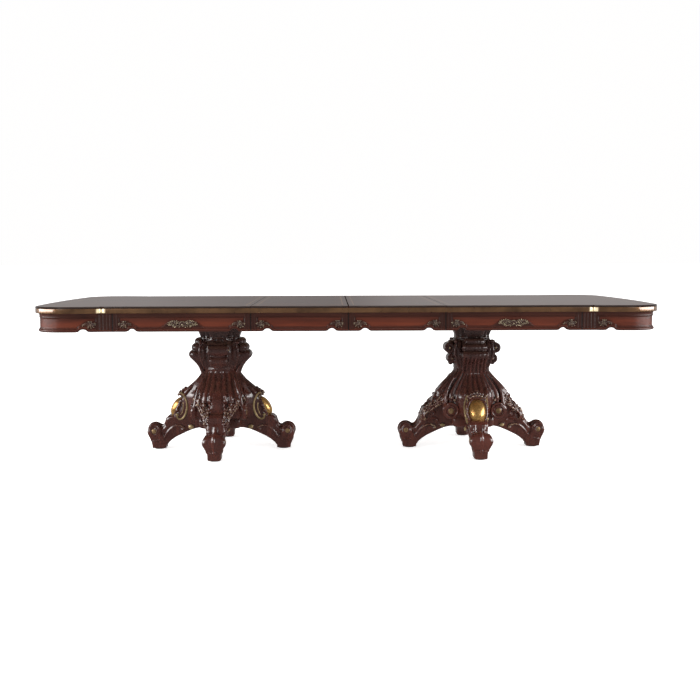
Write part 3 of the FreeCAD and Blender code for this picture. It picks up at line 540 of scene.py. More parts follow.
def gold_material(name, dark, bright, rough, wear=0.5, scale=90.0, use_cavity=False, metal=0.92, coat=None, bump_mm=0.08,
                  painted_glint=None, vary=0.18):
    """Gold leaf over wood. The optional pale colour is a painted highlight, laid in and made less metallic where the
    vertex attribute for it is high.
    """
    m, nt, b = new_material(name)
    n1 = noise(nt, mapped(nt, (scale, scale, scale)), 1.0, 5.0, 0.6)
    n2 = noise(nt, mapped(nt, (9, 9, 9)), 1.0, 3.0, 0.55)
    r = ramp(nt, [(0.30, dark), (0.62, bright)])
    f = math_node(nt, "ADD", math_node(nt, "MULTIPLY", n1, wear), math_node(nt, "MULTIPLY", n2, 1.0 - wear))
    if use_cavity:
        cav = attribute(nt, "cav")
        f = math_node(nt, "ADD", f, math_node(nt, "MULTIPLY", math_node(nt, "SUBTRACT", cav, 0.5), 0.6))
    nt.links.new(f, r.inputs["Fac"])
    col = r.outputs[0]
    b.inputs["Metallic"].default_value = metal
    if painted_glint:
        rub = attribute(nt, "rub")
        col = mix_color(nt, rub, col, painted_glint)
        nt.links.new(math_node(nt, "SUBTRACT", metal, math_node(nt, "MULTIPLY", rub, metal * 0.8), True), b.inputs["Metallic"])
    nt.links.new(col, b.inputs["Base Color"])
    nt.links.new(math_node(nt, "ADD", math_node(nt, "MULTIPLY", n1, vary), rough - vary / 2), b.inputs["Roughness"])
    if bump_mm:
        bump(nt, n1, 0.35, bump_mm * MM, b)
    if coat:
        b.inputs["Coat Weight"].default_value = 1.0
        b.inputs["Coat Roughness"].default_value = 0.12
        b.inputs["Coat IOR"].default_value = coat
    return m


# the shade colour is painted shade on the pedestals' upper parts, under the table top
WOOD_CARVED = grain_material("carved_mahogany", 2, (0.0300, 0.0096, 0.0075), (0.0430, 0.0126, 0.0091),
                             (0.0790, 0.0200, 0.0128), 0.25, 0.62, use_cavity=True, hollow_shade=(0.0078, 0.0040, 0.0038),
                             deep=2.7, lift=0.6,
                             gild_and_glint=(0.60, 0.47, (0.62, 0.50, 0.32)), coat_rough=0.105, bump_mm=0.03, pores=0.7,
                             shade=(0.22, 0.60, (0.0190, 0.0114, 0.0108)))
APRON_STAINS = ((0.0270, 0.0056, 0.0026), (0.0620, 0.0112, 0.0043), (0.0960, 0.0180, 0.0062))
WOOD_APRON = grain_material("apron_cherry", 0, *APRON_STAINS, 0.38, 0.06, use_cavity=True, hollow_shade=(0.0075, 0.0038, 0.0034),
                            coat_rough=0.26, quiet=(0.0150, 0.0056, 0.0042), lift=0.4, pores=1.3, level=0.22)
WOOD_END = grain_material("apron_cherry_across", 1, *APRON_STAINS, 0.38, 0.06, use_cavity=True,
                          hollow_shade=(0.0075, 0.0038, 0.0034), coat_rough=0.26, quiet=(0.0150, 0.0056, 0.0042), lift=0.4, pores=1.3,
                          level=0.22)
# cream gold on the carving's tips: partly gilding, partly painted glints
CARVING = grain_material("carving_gilt_and_glints", 0, (0.012, 0.0055, 0.0042), (0.026, 0.0105, 0.0075), (0.050, 0.0210, 0.0135),
                         0.36, 0.2, use_cavity=True, gild_and_glint=(0.575, 0.40, (0.88, 0.75, 0.49)), hollow_shade=(0.006, 0.0035, 0.003),
                         coat_rough=0.16, level=0.35)
HIDDEN = grain_material("stained_beech", 0, (0.10, 0.052, 0.027), (0.16, 0.088, 0.048), (0.22, 0.130, 0.075), 0.5, 0.1)
HIDDEN_Y = grain_material("stained_beech_across", 1, (0.10, 0.052, 0.027), (0.16, 0.088, 0.048), (0.22, 0.130, 0.075),
                          0.5, 0.1)
# the band's pale colour beside the V joints is a painted highlight
GOLD_BAND = gold_material("bronze_leaf", (0.088, 0.042, 0.018), (0.205, 0.104, 0.045), 0.30, 0.25, 30.0, metal=0.75, coat=1.75,
                          painted_glint=(0.78, 0.66, 0.42))
GOLD_OVAL = gold_material("burnished_leaf", (0.28, 0.135, 0.036), (0.62, 0.370, 0.130), 0.27, 0.12, 40.0, metal=0.78, bump_mm=0,
                          vary=0.03)
GOLD_LINE = gold_material("antique_leaf", (0.12, 0.078, 0.036), (0.45, 0.335, 0.175), 0.33, 0.5, 120.0, metal=0.62)
GOLD_EYE = gold_material("dull_leaf", (0.085, 0.048, 0.022), (0.300, 0.195, 0.095), 0.36, 0.5, 100.0, metal=0.6)
BRASS = gold_material("satin_brass", (0.50, 0.36, 0.17), (0.68, 0.50, 0.25), 0.36, 0.4, 300.0)


def steel_material():
    m, nt, b = new_material("zinc_steel")
    n1 = noise(nt, mapped(nt, (240, 240, 30)), 1.0, 4.0)
    r = ramp(nt, [(0.3, (0.40, 0.40, 0.41)), (0.7, (0.60, 0.60, 0.62))])
    nt.links.new(n1, r.inputs["Fac"])
    nt.links.new(r.outputs[0], b.inputs["Base Color"])
    b.inputs["Metallic"].default_value = 1.0
    nt.links.new(math_node(nt, "ADD", math_node(nt, "MULTIPLY", n1, 0.2), 0.25), b.inputs["Roughness"])
    return m


def felt_material():
    m, nt, b = new_material("brown_felt")
    n1 = noise(nt, mapped(nt, (700, 700, 700)), 1.0, 5.0, 0.7)
    r = ramp(nt, [(0.3, (0.020, 0.013, 0.010)), (0.7, (0.055, 0.038, 0.028))])
    nt.links.new(n1, r.inputs["Fac"])
    nt.links.new(r.outputs[0], b.inputs["Base Color"])
    b.inputs["Roughness"].default_value = 0.95
    b.inputs["Sheen Weight"].default_value = 0.4
    bump(nt, n1, 0.8, 0.4 * MM, b)
    return m


def top_material():
    """Veneered top: book-matched figure, a cross-banded border and light banding lines, dark joints between the panels and
    a dark rim. The attribute edge is the distance in from the outer edge in metres."""
    m, nt, b = new_material("cherry_veneer")
    field = noise(nt, mapped(nt, (1.6, 15.0, 10.0)), 1.0, 6.0, 0.6, 0.9)
    fine = noise(nt, mapped(nt, (14.0, 260.0, 60.0)), 1.0, 3.0, 0.6)
    cross = noise(nt, mapped(nt, (70.0, 4.0, 10.0)), 1.0, 4.0, 0.6)
    r = ramp(nt, [(0.25, (0.040, 0.0145, 0.0095)), (0.5, (0.082, 0.027, 0.016)), (0.75, (0.135, 0.045, 0.025))])
    nt.links.new(field, r.inputs["Fac"])
    col = mix_color(nt, math_node(nt, "MULTIPLY", math_node(nt, "SUBTRACT", 0.5, fine), 2.0, True), r.outputs[0],
                    (0.035, 0.012, 0.008))
    r2 = ramp(nt, [(0.3, (0.050, 0.018, 0.012)), (0.7, (0.115, 0.040, 0.024))])
    nt.links.new(cross, r2.inputs["Fac"])
    edge = attribute(nt, "edge")
    border = math_node(nt, "LESS_THAN", edge, 0.085)
    col = mix_color(nt, border, col, r2.outputs[0])
    line = math_node(nt, "MULTIPLY", math_node(nt, "GREATER_THAN", edge, 0.085), math_node(nt, "LESS_THAN", edge, 0.0885))
    line2 = math_node(nt, "MULTIPLY", math_node(nt, "GREATER_THAN", edge, 0.0925), math_node(nt, "LESS_THAN", edge, 0.094))
    col = mix_color(nt, line, col, (0.30, 0.17, 0.075))
    col = mix_color(nt, line2, col, (0.018, 0.008, 0.006))
    tc = nt.nodes.new("ShaderNodeTexCoord")
    sep = nt.nodes.new("ShaderNodeSeparateXYZ")
    nt.links.new(tc.outputs["Object"], sep.inputs[0])
    off = math_node(nt, "ABSOLUTE", sep.outputs["X"], None)
    seam = math_node(nt, "MINIMUM", off, math_node(nt, "ABSOLUTE", math_node(nt, "SUBTRACT", off, 0.4572), None))
    near = math_node(nt, "MULTIPLY", math_node(nt, "GREATER_THAN", seam, 0.024), math_node(nt, "LESS_THAN", seam, 0.0285))
    inner = math_node(nt, "GREATER_THAN", edge, 0.085)
    col = mix_color(nt, math_node(nt, "MULTIPLY", near, inner), col, (0.30, 0.17, 0.075))
    # the middle joint shows most
    joint = math_node(nt, "MAXIMUM", math_node(nt, "LESS_THAN", seam, 0.0010), math_node(nt, "LESS_THAN", off, 0.0026))
    col = mix_color(nt, joint, col, (0.006, 0.003, 0.0025))
    open_ = math_node(nt, "SUBTRACT", 1.0, joint, True)
    nt.links.new(math_node(nt, "MULTIPLY", open_, 0.6), b.inputs["Coat Weight"])
    nt.links.new(math_node(nt, "MULTIPLY", open_, 0.5), b.inputs["Specular IOR Level"])
    col = mix_color(nt, math_node(nt, "LESS_THAN", edge, 0.0042), col, (0.022, 0.0095, 0.0065))
    nt.links.new(col, b.inputs["Base Color"])
    rr = math_node(nt, "ADD", math_node(nt, "MULTIPLY", field, 0.10), 0.24)
    nt.links.new(rr, b.inputs["Roughness"])
    b.inputs["Coat Roughness"].default_value = 0.16
    bump(nt, fine, 0.25, 0.03 * MM, b)
    return m


VENEER = top_material()
LIP = grain_material("lip_stain", 0, (0.016, 0.007, 0.005), (0.035, 0.013, 0.009), (0.07, 0.025, 0.015), 0.26, 0.7)
STEEL, FELT = steel_material(), felt_material()


# ------------------------------------------------- plan of the top, as in the CAD
HALF, EARX, PK = 603.0, 1330.0, 635.0
VR, VX, VF = 20.0, 1149.0, 592.0
C1 = (VX - math.sqrt(VR ** 2 - (VF - (HALF - VR)) ** 2), HALF - VR)
A1 = math.atan2(VF - C1[1], VX - C1[0])
A2 = math.radians(160)
C2 = (VX + VR * math.cos(math.radians(20)), VF - VR * math.sin(math.radians(20)))
RE = ((EARX - C2[0]) ** 2 + (PK - C2[1]) ** 2 - VR ** 2) / (2 * (PK - C2[1]) - 2 * VR)
CE = (EARX, PK - RE)
AE = math.atan2(C2[1] - CE[1], C2[0] - CE[0])
RC = 150.0
CC = (EARX, PK - RC)
KX = 1500.0 - EARX
REND = (KX * KX - RC * RC + (PK - RC) ** 2) / (2 * (KX - RC))
CX = (1500.0 - REND, 0.0)
AC = math.atan2(CC[1], CC[0] - CX[0])
SEAM, GAP = 457.2, 0.2
ZT, ZU, ZL, ZA = 787.0, 755.0, 778.0, 668.0


def arc_pts(c, r, a, b, n, last=True):
    t = np.linspace(a, b, n + 1)
    if not last:
        t = t[:-1]
    return np.stack([c[0] + r * np.cos(t), c[1] + r * np.sin(t)], 1)


def long_pts(d, start, steps=12):
    y = HALF - d
    x = np.linspace(start, C1[0], steps + 1)[:-1]
    return np.concatenate([np.stack([x, np.full(len(x), y)], 1), arc_pts(C1, VR - d, math.pi / 2, A1, 12)])


def ear_pts(d, end=True):
    return np.concatenate([arc_pts(C2, VR - d, A2, AE, 14, False), arc_pts(CE, RE - d, AE, math.pi / 2, 30, False),
                           arc_pts(CC, RC - d, math.pi / 2, AC, 26, end)])


def end_pts(d):
    return arc_pts(CX, REND - d, AC, -AC, 60)


def top_ring(d, start):
    """The half's outline for +X, starting at the seam at +Y and running to the seam at -Y, set in by d."""
    q = np.concatenate([long_pts(min(d, VR - 0.5), start), ear_pts(min(d, VR - 0.5), False)])
    if d > VR - 0.5:                       # past the shoulders' radius the joint is a straight corner
        extra = d - (VR - 0.5)
        q = inset(q, extra)
    e = end_pts(d)
    q2 = q[::-1] * [1, -1]
    return np.concatenate([q, e, q2])


def inset(q, extra):
    """Moves a smooth run inwards by extra, without crossing at the V joint."""
    out = q.copy()
    t = np.gradient(q, axis=0)
    n = np.stack([t[:, 1], -t[:, 0]], 1)
    n /= np.linalg.norm(n, axis=1)[:, None] + 1e-9
    for _ in range(12):
        n[1:-1] = (n[:-2] + 2 * n[1:-1] + n[2:]) / 4
        n /= np.linalg.norm(n, axis=1)[:, None] + 1e-9
    return out + n * extra


# ------------------------------------------------------------------------- tops
LIP_STEPS = [(5.2, 755.0), (5.2, 777.9), (0.8, 778.2), (0.15, 779.5), (0.0, 781.0), (0.15, 783.0), (0.8, 784.9),
             (1.9, 786.1), (3.2, 786.8), (4.6, 787.0)]


def edge_distance(p, outline):
    """Distance in metres from plan points to the outline polyline."""
    a, b = outline[:-1], outline[1:]
    e = b - a
    best = np.full(len(p), 1e9)
    for i in range(len(a)):
        t = np.clip(((p - a[i]) @ e[i]) / (e[i] @ e[i] + 1e-12), 0, 1)
        best = np.minimum(best, ((p - a[i] - t[:, None] * e[i]) ** 2).sum(1))
    return np.sqrt(best) * MM


def half_top(side, sx):
    start = SEAM + GAP
    base = top_ring(0.0, start)
    n = len(base)
    rings, edge = [], []
    for d, z in LIP_STEPS:
        q = top_ring(d, start)
        rings.append(np.column_stack([q, np.full(n, z)]))
        edge.append(np.full(n, max(d, 0.1) * MM if z > 780 else 0.0))
    p0 = rings[-1][:, :2]
    steps = 30
    for k in range(1, steps + 1):
        t = k / steps
        q = np.column_stack([start + (p0[:, 0] - start) * (1 - 0.10 * t), p0[:, 1] * (1 - 0.24 * t)])
        rings.append(np.column_stack([q, np.full(n, ZT)]))
        edge.append(edge_distance(q, base))
    m = len(rings)
    v = np.concatenate(rings)
    v[:, 0] *= sx
    q = ring_quads(n, m, closed=False)
    polys = [list(range(n))[::-1], [(m - 1) * n + i for i in range(n)],
             [k * n for k in range(m)] + [k * n + n - 1 for k in range(m - 1, -1, -1)]]
    s = Soup()
    s.add(v, q, polys, flip=sx > 0, edge=np.concatenate(edge))
    ob = s.build(side + "_top_panel", [VENEER], 35)
    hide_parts(side + "_top")
    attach(ob, side + "_half")
    return ob


def leaf_top(side, sx):
    lo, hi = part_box(side + "_leaf_top")
    x0, x1 = lo[0] * 1000, hi[0] * 1000
    prof = [(HALF - d, z) for d, z in LIP_STEPS]
    edge = [max(d, 0.1) * MM if z > 780 else 0.0 for d, z in LIP_STEPS]
    inner = [(y, ZT) for y in (560.0, 510.0, 505.0, 400.0, 200.0, 0.0)]
    prof += inner
    edge += [(HALF - y) * MM for y, _ in inner]
    prof += [(-y, z) for y, z in prof[-2::-1]]
    edge += edge[-2::-1]
    prof, edge = np.array(prof), np.array(edge)
    n = len(prof)
    xs = [(x0, 0.35), (x0 + 0.35, 0.0), (x1 - 0.35, 0.0), (x1, 0.35)]
    rings = []
    for x, c in xs:
        pr = prof.copy()
        pr[:, 1] = np.where(pr[:, 1] > 780, pr[:, 1] - c, pr[:, 1])
        rings.append(np.column_stack([np.full(n, x), pr]))
    s = Soup()
    s.add(np.concatenate(rings), ring_quads(n, len(xs)),
          [list(range(n))[::-1], [(len(xs) - 1) * n + i for i in range(n)]], edge=np.tile(edge, len(xs)))
    ob = s.build(side + "_leaf_panel", [VENEER], 35)
    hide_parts(side + "_leaf_top")
    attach(ob, side + "_leaf")
    return ob


for SIDE, SX in (("left", -1), ("right", 1)):
    half_top(SIDE, SX)
    leaf_top(SIDE, SX)


# -------------------------------------------------------------------- gold band
BAND_PROFILE = [(5.0, 755.5), (1.3, 755.5), (0.6, 756.2), (0.3, 757.6), (0.1, 760.5), (0.02, 764.0), (0.0, 766.5),
                (0.02, 769.0), (0.1, 772.5), (0.3, 775.4), (0.6, 776.8), (1.3, 777.6), (5.0, 777.6)]


def fine_long(d, start):
    """long_pts with extra points on the last 40 mm before the shoulder."""
    q = long_pts(d, start)
    x = C1[0] - np.array([40.0, 32.0, 26.0, 20.0, 15.0, 10.0, 5.0])
    return np.concatenate([q[:12], np.column_stack([x, np.full(len(x), HALF - d)]), q[12:]])


def band_run(s, run, sx, sy):
    """run(d) gives the plan line set in by d; the profile follows it. A pale painted highlight lies on the leaf on both
    sides of a V joint.
    """
    n = len(run(0.0))
    rings = []
    for d, z in BAND_PROFILE:
        q = run(d)
        rings.append(np.column_stack([q[:, 0] * sx, q[:, 1] * sy, np.full(n, z)]))
    v = np.concatenate(rings)
    m = len(rings)
    q = ring_quads(n, m, closed=False)
    i = np.arange(n - 1)
    a = (m - 1) * n
    q = np.concatenate([q, np.stack([a + i, a + i + 1, i + 1, i], 1)])
    # painted highlight on the band's rounded shoulders beside each V joint, fading towards the band's top and bottom
    # edges
    rub = (1 - sstep(np.abs(np.abs(v[:, 0]) - 1150.0), 16.0, 23.0)) * (np.abs(v[:, 1]) > 560)
    rub = rub * (1 - sstep(np.abs(v[:, 2] - 766.5), 8.0, 11.0)) * 0.9
    s.add(v, q, [[k * n for k in range(m)], [k * n + n - 1 for k in range(m)][::-1]], flip=sx * sy > 0, rub=rub)


for SIDE, SX in (("left", -1), ("right", 1)):
    soup = Soup()
    for sy in (-1, 1):
        band_run(soup, lambda d: fine_long(d, SEAM + GAP), SX, sy)
    band_run(soup, lambda d: np.concatenate([ear_pts(d, False), end_pts(d), (ear_pts(d, False) * [1, -1])[::-1]]), SX, 1)
    band = soup.build(SIDE + "_gilt_band", [GOLD_BAND], 40)
    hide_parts(SIDE + "_edge_band")
    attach(band, SIDE + "_half")
    lo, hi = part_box(SIDE + "_leaf_edge_bands")
    soup = Soup()
    for sy in (-1, 1):
        band_run(soup, lambda d: np.array([[lo[0] * 1000, HALF - d], [hi[0] * 1000, HALF - d]]), 1, sy)
    band = soup.build(SIDE + "_leaf_gilt_bands", [GOLD_BAND], 40)
    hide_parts(SIDE + "_leaf_edge_bands")
    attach(band, SIDE + "_leaf")


# ----------------------------------------------------------------------- aprons
def notch_rise(x, notches, rise=13.0):
    """The bottom edge rises in a round arch at each notch, with small hollow shoulders."""
    z = np.zeros(len(x))
    for n, w in notches:
        t = np.abs(x - n) / w
        arch = rise * (1 - np.clip(t, 0, 1) ** 2.3)
        lip = 1.6 * np.exp(-((t - 1.12) / 0.16) ** 2)
        z = np.maximum(z, np.maximum(arch, lip))
    for _ in range(2):
        z[1:-1] = (z[:-2] + 2 * z[1:-1] + z[2:]) / 4
    return z


def apron(name, node, path, normal, s, notches, swells, reeds, body, mats, thick, s_lo, s_hi):
    """Sweeps the carved face along a plan path. s is the position along it that the features are given in;
    s_lo and s_hi are the tidy ends between which the recessed field runs. A swell (a, b, c, d) lifts the field's lower
    edge in S curves between a and b and between c and d; reeds are (low, high, count)."""
    n = len(path)
    zb = ZA + notch_rise(s, notches)
    slope = np.gradient(zb, s)
    cosf = 1 / np.sqrt(1 + slope ** 2)
    wv = np.concatenate([np.linspace(0, 16, 15), np.linspace(17.7, 50, 20), np.linspace(52.5, 61, 5), np.linspace(62.5, 87, 21)])
    rows_z = []
    for w in wv:
        # rows near the bottom follow the edge, rows near the top run level
        f = sstep(np.array([w]), 16.0, 30.0)[0]
        rows_z.append((zb + w * (1 - 0.5 * (1 - f) * (zb - ZA) / 30)) * (1 - f) + (ZA + w) * f)
    rows_z = np.array(rows_z)
    rise_now = rows_z - zb[None, :]
    dist = rise_now * np.where(rise_now < 26, cosf[None, :], 1.0)
    lvl = rows_z
    S = np.broadcast_to(s[None, :], rows_z.shape)
    # bead along the bottom edge
    bead = np.sqrt(np.clip(1 - ((dist - 6.6) / 6.6) ** 2, 0, 1)) * 5.6
    fillet = 0.5 * np.exp(-((dist - 15.4) / 1.8) ** 2)
    # quiet field between raised edges; its lower edge swings over the ornaments
    lift = np.zeros(n)
    for a, b, c, d in swells:
        lift = np.maximum(lift, sstep(s, a, b) * (1 if c is None else 1 - sstep(s, c, d)))
    zlow = 684.5 + 29.0 * lift
    bend = 1 / np.sqrt(1 + np.gradient(zlow, s) ** 2)
    above = (lvl - zlow[None, :]) * bend[None, :]
    field = sstep(dist, 16.5, 20.0) * sstep(above, 0.0, 3.2) * (1 - sstep(lvl, 731.5, 734.5))
    reedzone = np.zeros_like(rows_z)
    reed = np.zeros_like(rows_z)
    for lo, hi, count in reeds:
        inside = sstep(S, lo - 1.2, lo + 0.4) * (1 - sstep(S, hi - 0.4, hi + 1.2))
        reedzone = np.maximum(reedzone, inside)
        u = (S - lo) / (hi - lo) * count
        reed = np.where(inside > 0.5, np.sqrt(np.clip(1 - (2 * (u - np.floor(u)) - 1) ** 2, 0, 1)), reed)
    # the outermost reed meets its neighbour across the joint without a deep groove
    reed[:, :3] = np.maximum(reed[:, :3], 0.82)
    reed[:, -3:] = np.maximum(reed[:, -3:], 0.82)
    ends = sstep(S, s_lo, s_lo + 3) * (1 - sstep(S, s_hi - 3, s_hi))
    field = field * (1 - reedzone) * ends
    D = -2.6 * field
    # narrow lip along the swinging edge
    D = D + 1.3 * np.exp(-((above + 2.0) / 1.5) ** 2) * (lift > 0.02)[None, :] * (1 - reedzone) * sstep(dist, 13, 16)
    # upper cove under the gold band
    t = np.clip((lvl - 737.5) / (ZU - 737.5), 0, 1)
    D = D + np.where(lvl > 737.5, 5.4 * (1 - np.sqrt(np.clip(1 - t ** 2, 0, 1))), 0)
    D = D + 1.1 * np.exp(-((lvl - 736.6) / 1.2) ** 2)
    D = np.where(dist < 13.4, bead, D + fillet)
    # reeded strips run from the bead up to the band
    zone = reedzone * sstep(dist, 8.5, 10.5) * (1 - sstep(lvl, 750.0, 752.0))
    D = D * (1 - zone) + (-0.3 + 2.1 * reed) * zone
    front = np.stack([path[None, :, 0] + normal[None, :, 0] * D, path[None, :, 1] + normal[None, :, 1] * D, rows_z], 2)
    back = np.stack([np.broadcast_to(path[:, 0] - normal[:, 0] * thick, (2, n)),
                     np.broadcast_to(path[:, 1] - normal[:, 1] * thick, (2, n)),
                     np.stack([rows_z[-1], rows_z[0]])], 2)
    rings = np.concatenate([front, back])
    m = len(rings)
    v = rings.reshape(-1, 3)
    q = ring_quads(n, m, closed=False)
    i = np.arange(n - 1)
    a = (m - 1) * n
    q = np.concatenate([q, np.stack([a + i, a + i + 1, i + 1, i], 1)])
    polys = [[k * n for k in range(m)], [k * n + n - 1 for k in range(m)][::-1]]
    # hollows: how far below the neighbours, which paints shade in the hollows and a highlight on the raised parts
    sm = D.copy()
    for _ in range(10):
        sm[1:-1] = (sm[:-2] + sm[1:-1] + sm[2:]) / 3
        sm[:, 1:-1] = (sm[:, :-2] + sm[:, 1:-1] + sm[:, 2:]) / 3
    cav = np.clip(0.5 + (D - sm) * 0.16, 0, 1)
    cav = np.where((lvl > 738) & (cav < 0.5) & (zone < 0.5), 0.5, cav)
    cav = np.where(zone > 0.5, 0.5 + (cav - 0.5) * 0.6 - 0.02, cav)
    # the two columns at each end take the hollow shade: a dark joint line, partly painted shade in the gap
    cav[:, :2] = cav[:, -2:] = 0.22
    cav = np.concatenate([cav, np.full((2, n), 0.5)]).reshape(-1)
    warm = np.maximum(0.45 * sstep(dist, 4.5, 8.5) * (1 - sstep(dist, 17.0, 20.0)), 0.20 * sstep(lvl, 737.0, 739.0))
    warm = warm * (1 - 0.6 * zone)
    # field colour, fading to the moulding stain towards the field's top as painted shade under the band
    field_stain_and_shade = np.concatenate([np.maximum(field * (1 - 0.42 * sstep(lvl, 706.0, 731.0)), warm), np.zeros((2, n))]).reshape(-1)
    # orientation: outward normal x up should follow the path's direction
    dpath = path[1] - path[0]
    turn = dpath[0] * normal[0, 1] - dpath[1] * normal[0, 0]
    soup = Soup()
    soup.add(v, q, polys, flip=turn > 0, cav=cav, field=field_stain_and_shade)
    ob = soup.build(name, mats, 50)
    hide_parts(node)
    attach(ob, body)
    return ob


def ordered(items):
    """Puts each strip's two ends in rising order."""
    return [(min(a, b), max(a, b), k) for a, b, k in items]


FACE = 585.0
for SIDE, SX in (("left", -1), ("right", 1)):
    for sy, word in ((-1, "front"), (1, "back")):
        for kind in ("", "leaf_"):
            nd = "%s_%s%s_apron" % (SIDE, kind, word)
            lo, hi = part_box(nd)
            xa, xb = lo[0] * 1000, hi[0] * 1000
            xs = np.linspace(xa, xb, int((xb - xa) / 1.9))
            path = np.column_stack([xs, np.full(len(xs), sy * FACE)])
            nor = np.tile([0.0, float(sy)], (len(xs), 1))
            if kind:
                notches = [(SX * 78.0, 21.5), (SX * 379.2, 21.5)]
                swells = [(SX * 106.0, SX * 64.0, None, None), (SX * 351.0, SX * 393.0, None, None)]
                reeds = ordered([(SX * 0.2, SX * 29.4, 2), (SX * (SEAM - 29.4), SX * (SEAM - 0.2), 2)])
            else:
                notches = [(SX * 535.2, 21.5), (SX * 1011.0, 21.5)]
                swells = [(SX * 563.0, SX * 522.0, None, None), (SX * 982.0, SX * 1030.0, None, None),
                          (SX * 668.0, SX * 722.0, SX * 830.0, SX * 884.0)]
                reeds = ordered([(SX * (SEAM + 0.2), SX * (SEAM + 29.4), 2), (SX * 1071.0, SX * 1099.6, 2)])
            apron("%s_%s%s_apron_carved" % (SIDE, kind, word), nd, path, nor, xs, notches, swells, reeds,
                  SIDE + ("_leaf" if kind else "_half"), [WOOD_APRON], 21.8, xa, xb)


def corner_path(d):
    y = HALF - d
    x = CE[0] - math.sqrt((RE - d) ** 2 - (y - CE[1]) ** 2)
    a = math.atan2(y - CE[1], x - CE[0])
    xs = np.linspace(1100.0 + GAP, x, 32)[:-1]
    return np.concatenate([np.column_stack([xs, np.full(len(xs), y)]), arc_pts(CE, RE - d, a, math.pi / 2, 90, False),
                           arc_pts(CC, RC - d, math.pi / 2, AC, 60)])


def path_normals(p, out):
    t = np.gradient(p, axis=0)
    n = np.column_stack([t[:, 1], -t[:, 0]])
    n /= np.linalg.norm(n, axis=1)[:, None]
    return n if (n[len(n) // 2] @ out) > 0 else -n


for SIDE, SX in (("left", -1), ("right", 1)):
    for sy, word in ((-1, "front"), (1, "back")):
        p = corner_path(18.0)
        nrm = path_normals(p, np.array([0.5, 0.8]))
        # features are placed by X up to the corner's bend, and by length after it
        seg = np.concatenate([[0], np.cumsum(np.linalg.norm(np.diff(p, axis=0), axis=1))])
        s_val = 1100.2 + seg
        p2 = p * [SX, sy]
        n2 = nrm * [SX, sy]
        apron("%s_%s_corner_carved" % (SIDE, word), "%s_%s_corner_apron" % (SIDE, word), p2, n2, s_val,
              [(1236.0, 23.0)], [(1266.0, 1219.0, None, None)], [(1100.4, 1176.4, 5)], SIDE + "_half", [WOOD_APRON], 21.6,
              s_val[0], s_val[-1])
    e = arc_pts(CX, REND - 18.0, AC, -AC, 480)
    nrm = path_normals(e, np.array([1.0, 0.0]))
    seg = np.concatenate([[0], np.cumsum(np.linalg.norm(np.diff(e, axis=0), axis=1))])
    s_val = seg - seg[-1] / 2
    e2, n2 = e * [SX, 1], nrm * [SX, 1]
    half = seg[-1] / 2
    apron("%s_end_carved" % SIDE, "%s_end_apron" % SIDE, e2, n2, s_val,
          [(-330.0, 21.5), (330.0, 21.5)], [(-302.0, -384.0, None, None), (302.0, 384.0, None, None),
                                            (-108.0, -54.0, 54.0, 108.0)],
          [(half - 28.6, half, 2), (-half, -half + 28.6, 2)],
          SIDE + "_half", [WOOD_END], 21.6, s_val[0], s_val[-1])


# -------------------------------------------------------------------- pedestals
def smax(a, b, k):
    return -smin(-a, -b, k)


def interp(z, table):
    t = sorted(table)
    return np.interp(z, [p[0] for p in t], [p[1] for p in t]).astype(np.float32)


def plate(vol, points, width, k=3.0, round_=6.0, lo=None, hi=None):
    """A side outline (a, z) that runs across b between -width and +width; width may be a function of (a, z)."""
    pts = np.array(points, float)
    lo_ = (pts[:, 0].min(), -90, pts[:, 1].min()) if lo is None else lo
    hi_ = (pts[:, 0].max(), 90, pts[:, 1].max()) if hi is None else hi

    def fn(A, B, Z):
        f = polygon_field(points, A, Z)
        w = width(A, Z) if callable(width) else width
        return smax(f, np.abs(B) - w, round_)
    vol.add(fn, lo_, hi_, k)


def drum(vol, c, r, half, k=3.0, round_=6.0, axis=1, cut=False):
    """A roll lying along axis, centre c (given in all three axes), radius r, with rounded ends."""
    o = [i for i in range(3) if i != axis]
    c = np.asarray(c, float)
    ext = np.array([r, r, r], float)
    ext[axis] = half

    def fn(A, B, Z):
        P = (A - c[0], B - c[1], Z - c[2])
        rad = np.sqrt(P[o[0]] ** 2 + P[o[1]] ** 2) - r
        return smax(rad, np.abs(P[axis]) - half, round_)
    (vol.cut if cut else vol.add)(fn, c - ext, c + ext, k)


def spiral(vol, c, r0, r1, turns, start, depth, k=1.5, plane=(0, 2), steps=34, cut=True, sense=1.0, taper=None):
    """A groove or a cord wound as a spiral in a plane, round c."""
    pts = []
    for i in range(steps + 1):
        t = i / steps
        r = r0 + (r1 - r0) * t
        ang = start + sense * 2 * math.pi * turns * t
        p = np.array(c, float)
        p[plane[0]] += r * math.cos(ang)
        p[plane[1]] += r * math.sin(ang)
        pts.append(p)
    vol.string(pts, depth, depth if taper is None else taper, k, cut)


UNDERSIDE = [(366, 5), (294, 5), (290, 20), (283, 32), (262, 50), (238, 66), (210, 80), (183, 93), (152, 106), (120, 114)]
BULB_A = [(424, 92), (413, 98), (395, 105), (369, 114), (345, 121), (320, 129), (300, 135), (280, 139), (250, 140),
          (225, 138), (205, 134), (190, 126), (178, 114), (170, 96)]
BULB_B = [(424, 88), (413, 93), (395, 107), (369, 132), (345, 156), (320, 178), (300, 189), (280, 194), (262, 193),
          (245, 186), (230, 176), (213, 163), (198, 155), (186, 143), (176, 125), (170, 105)]


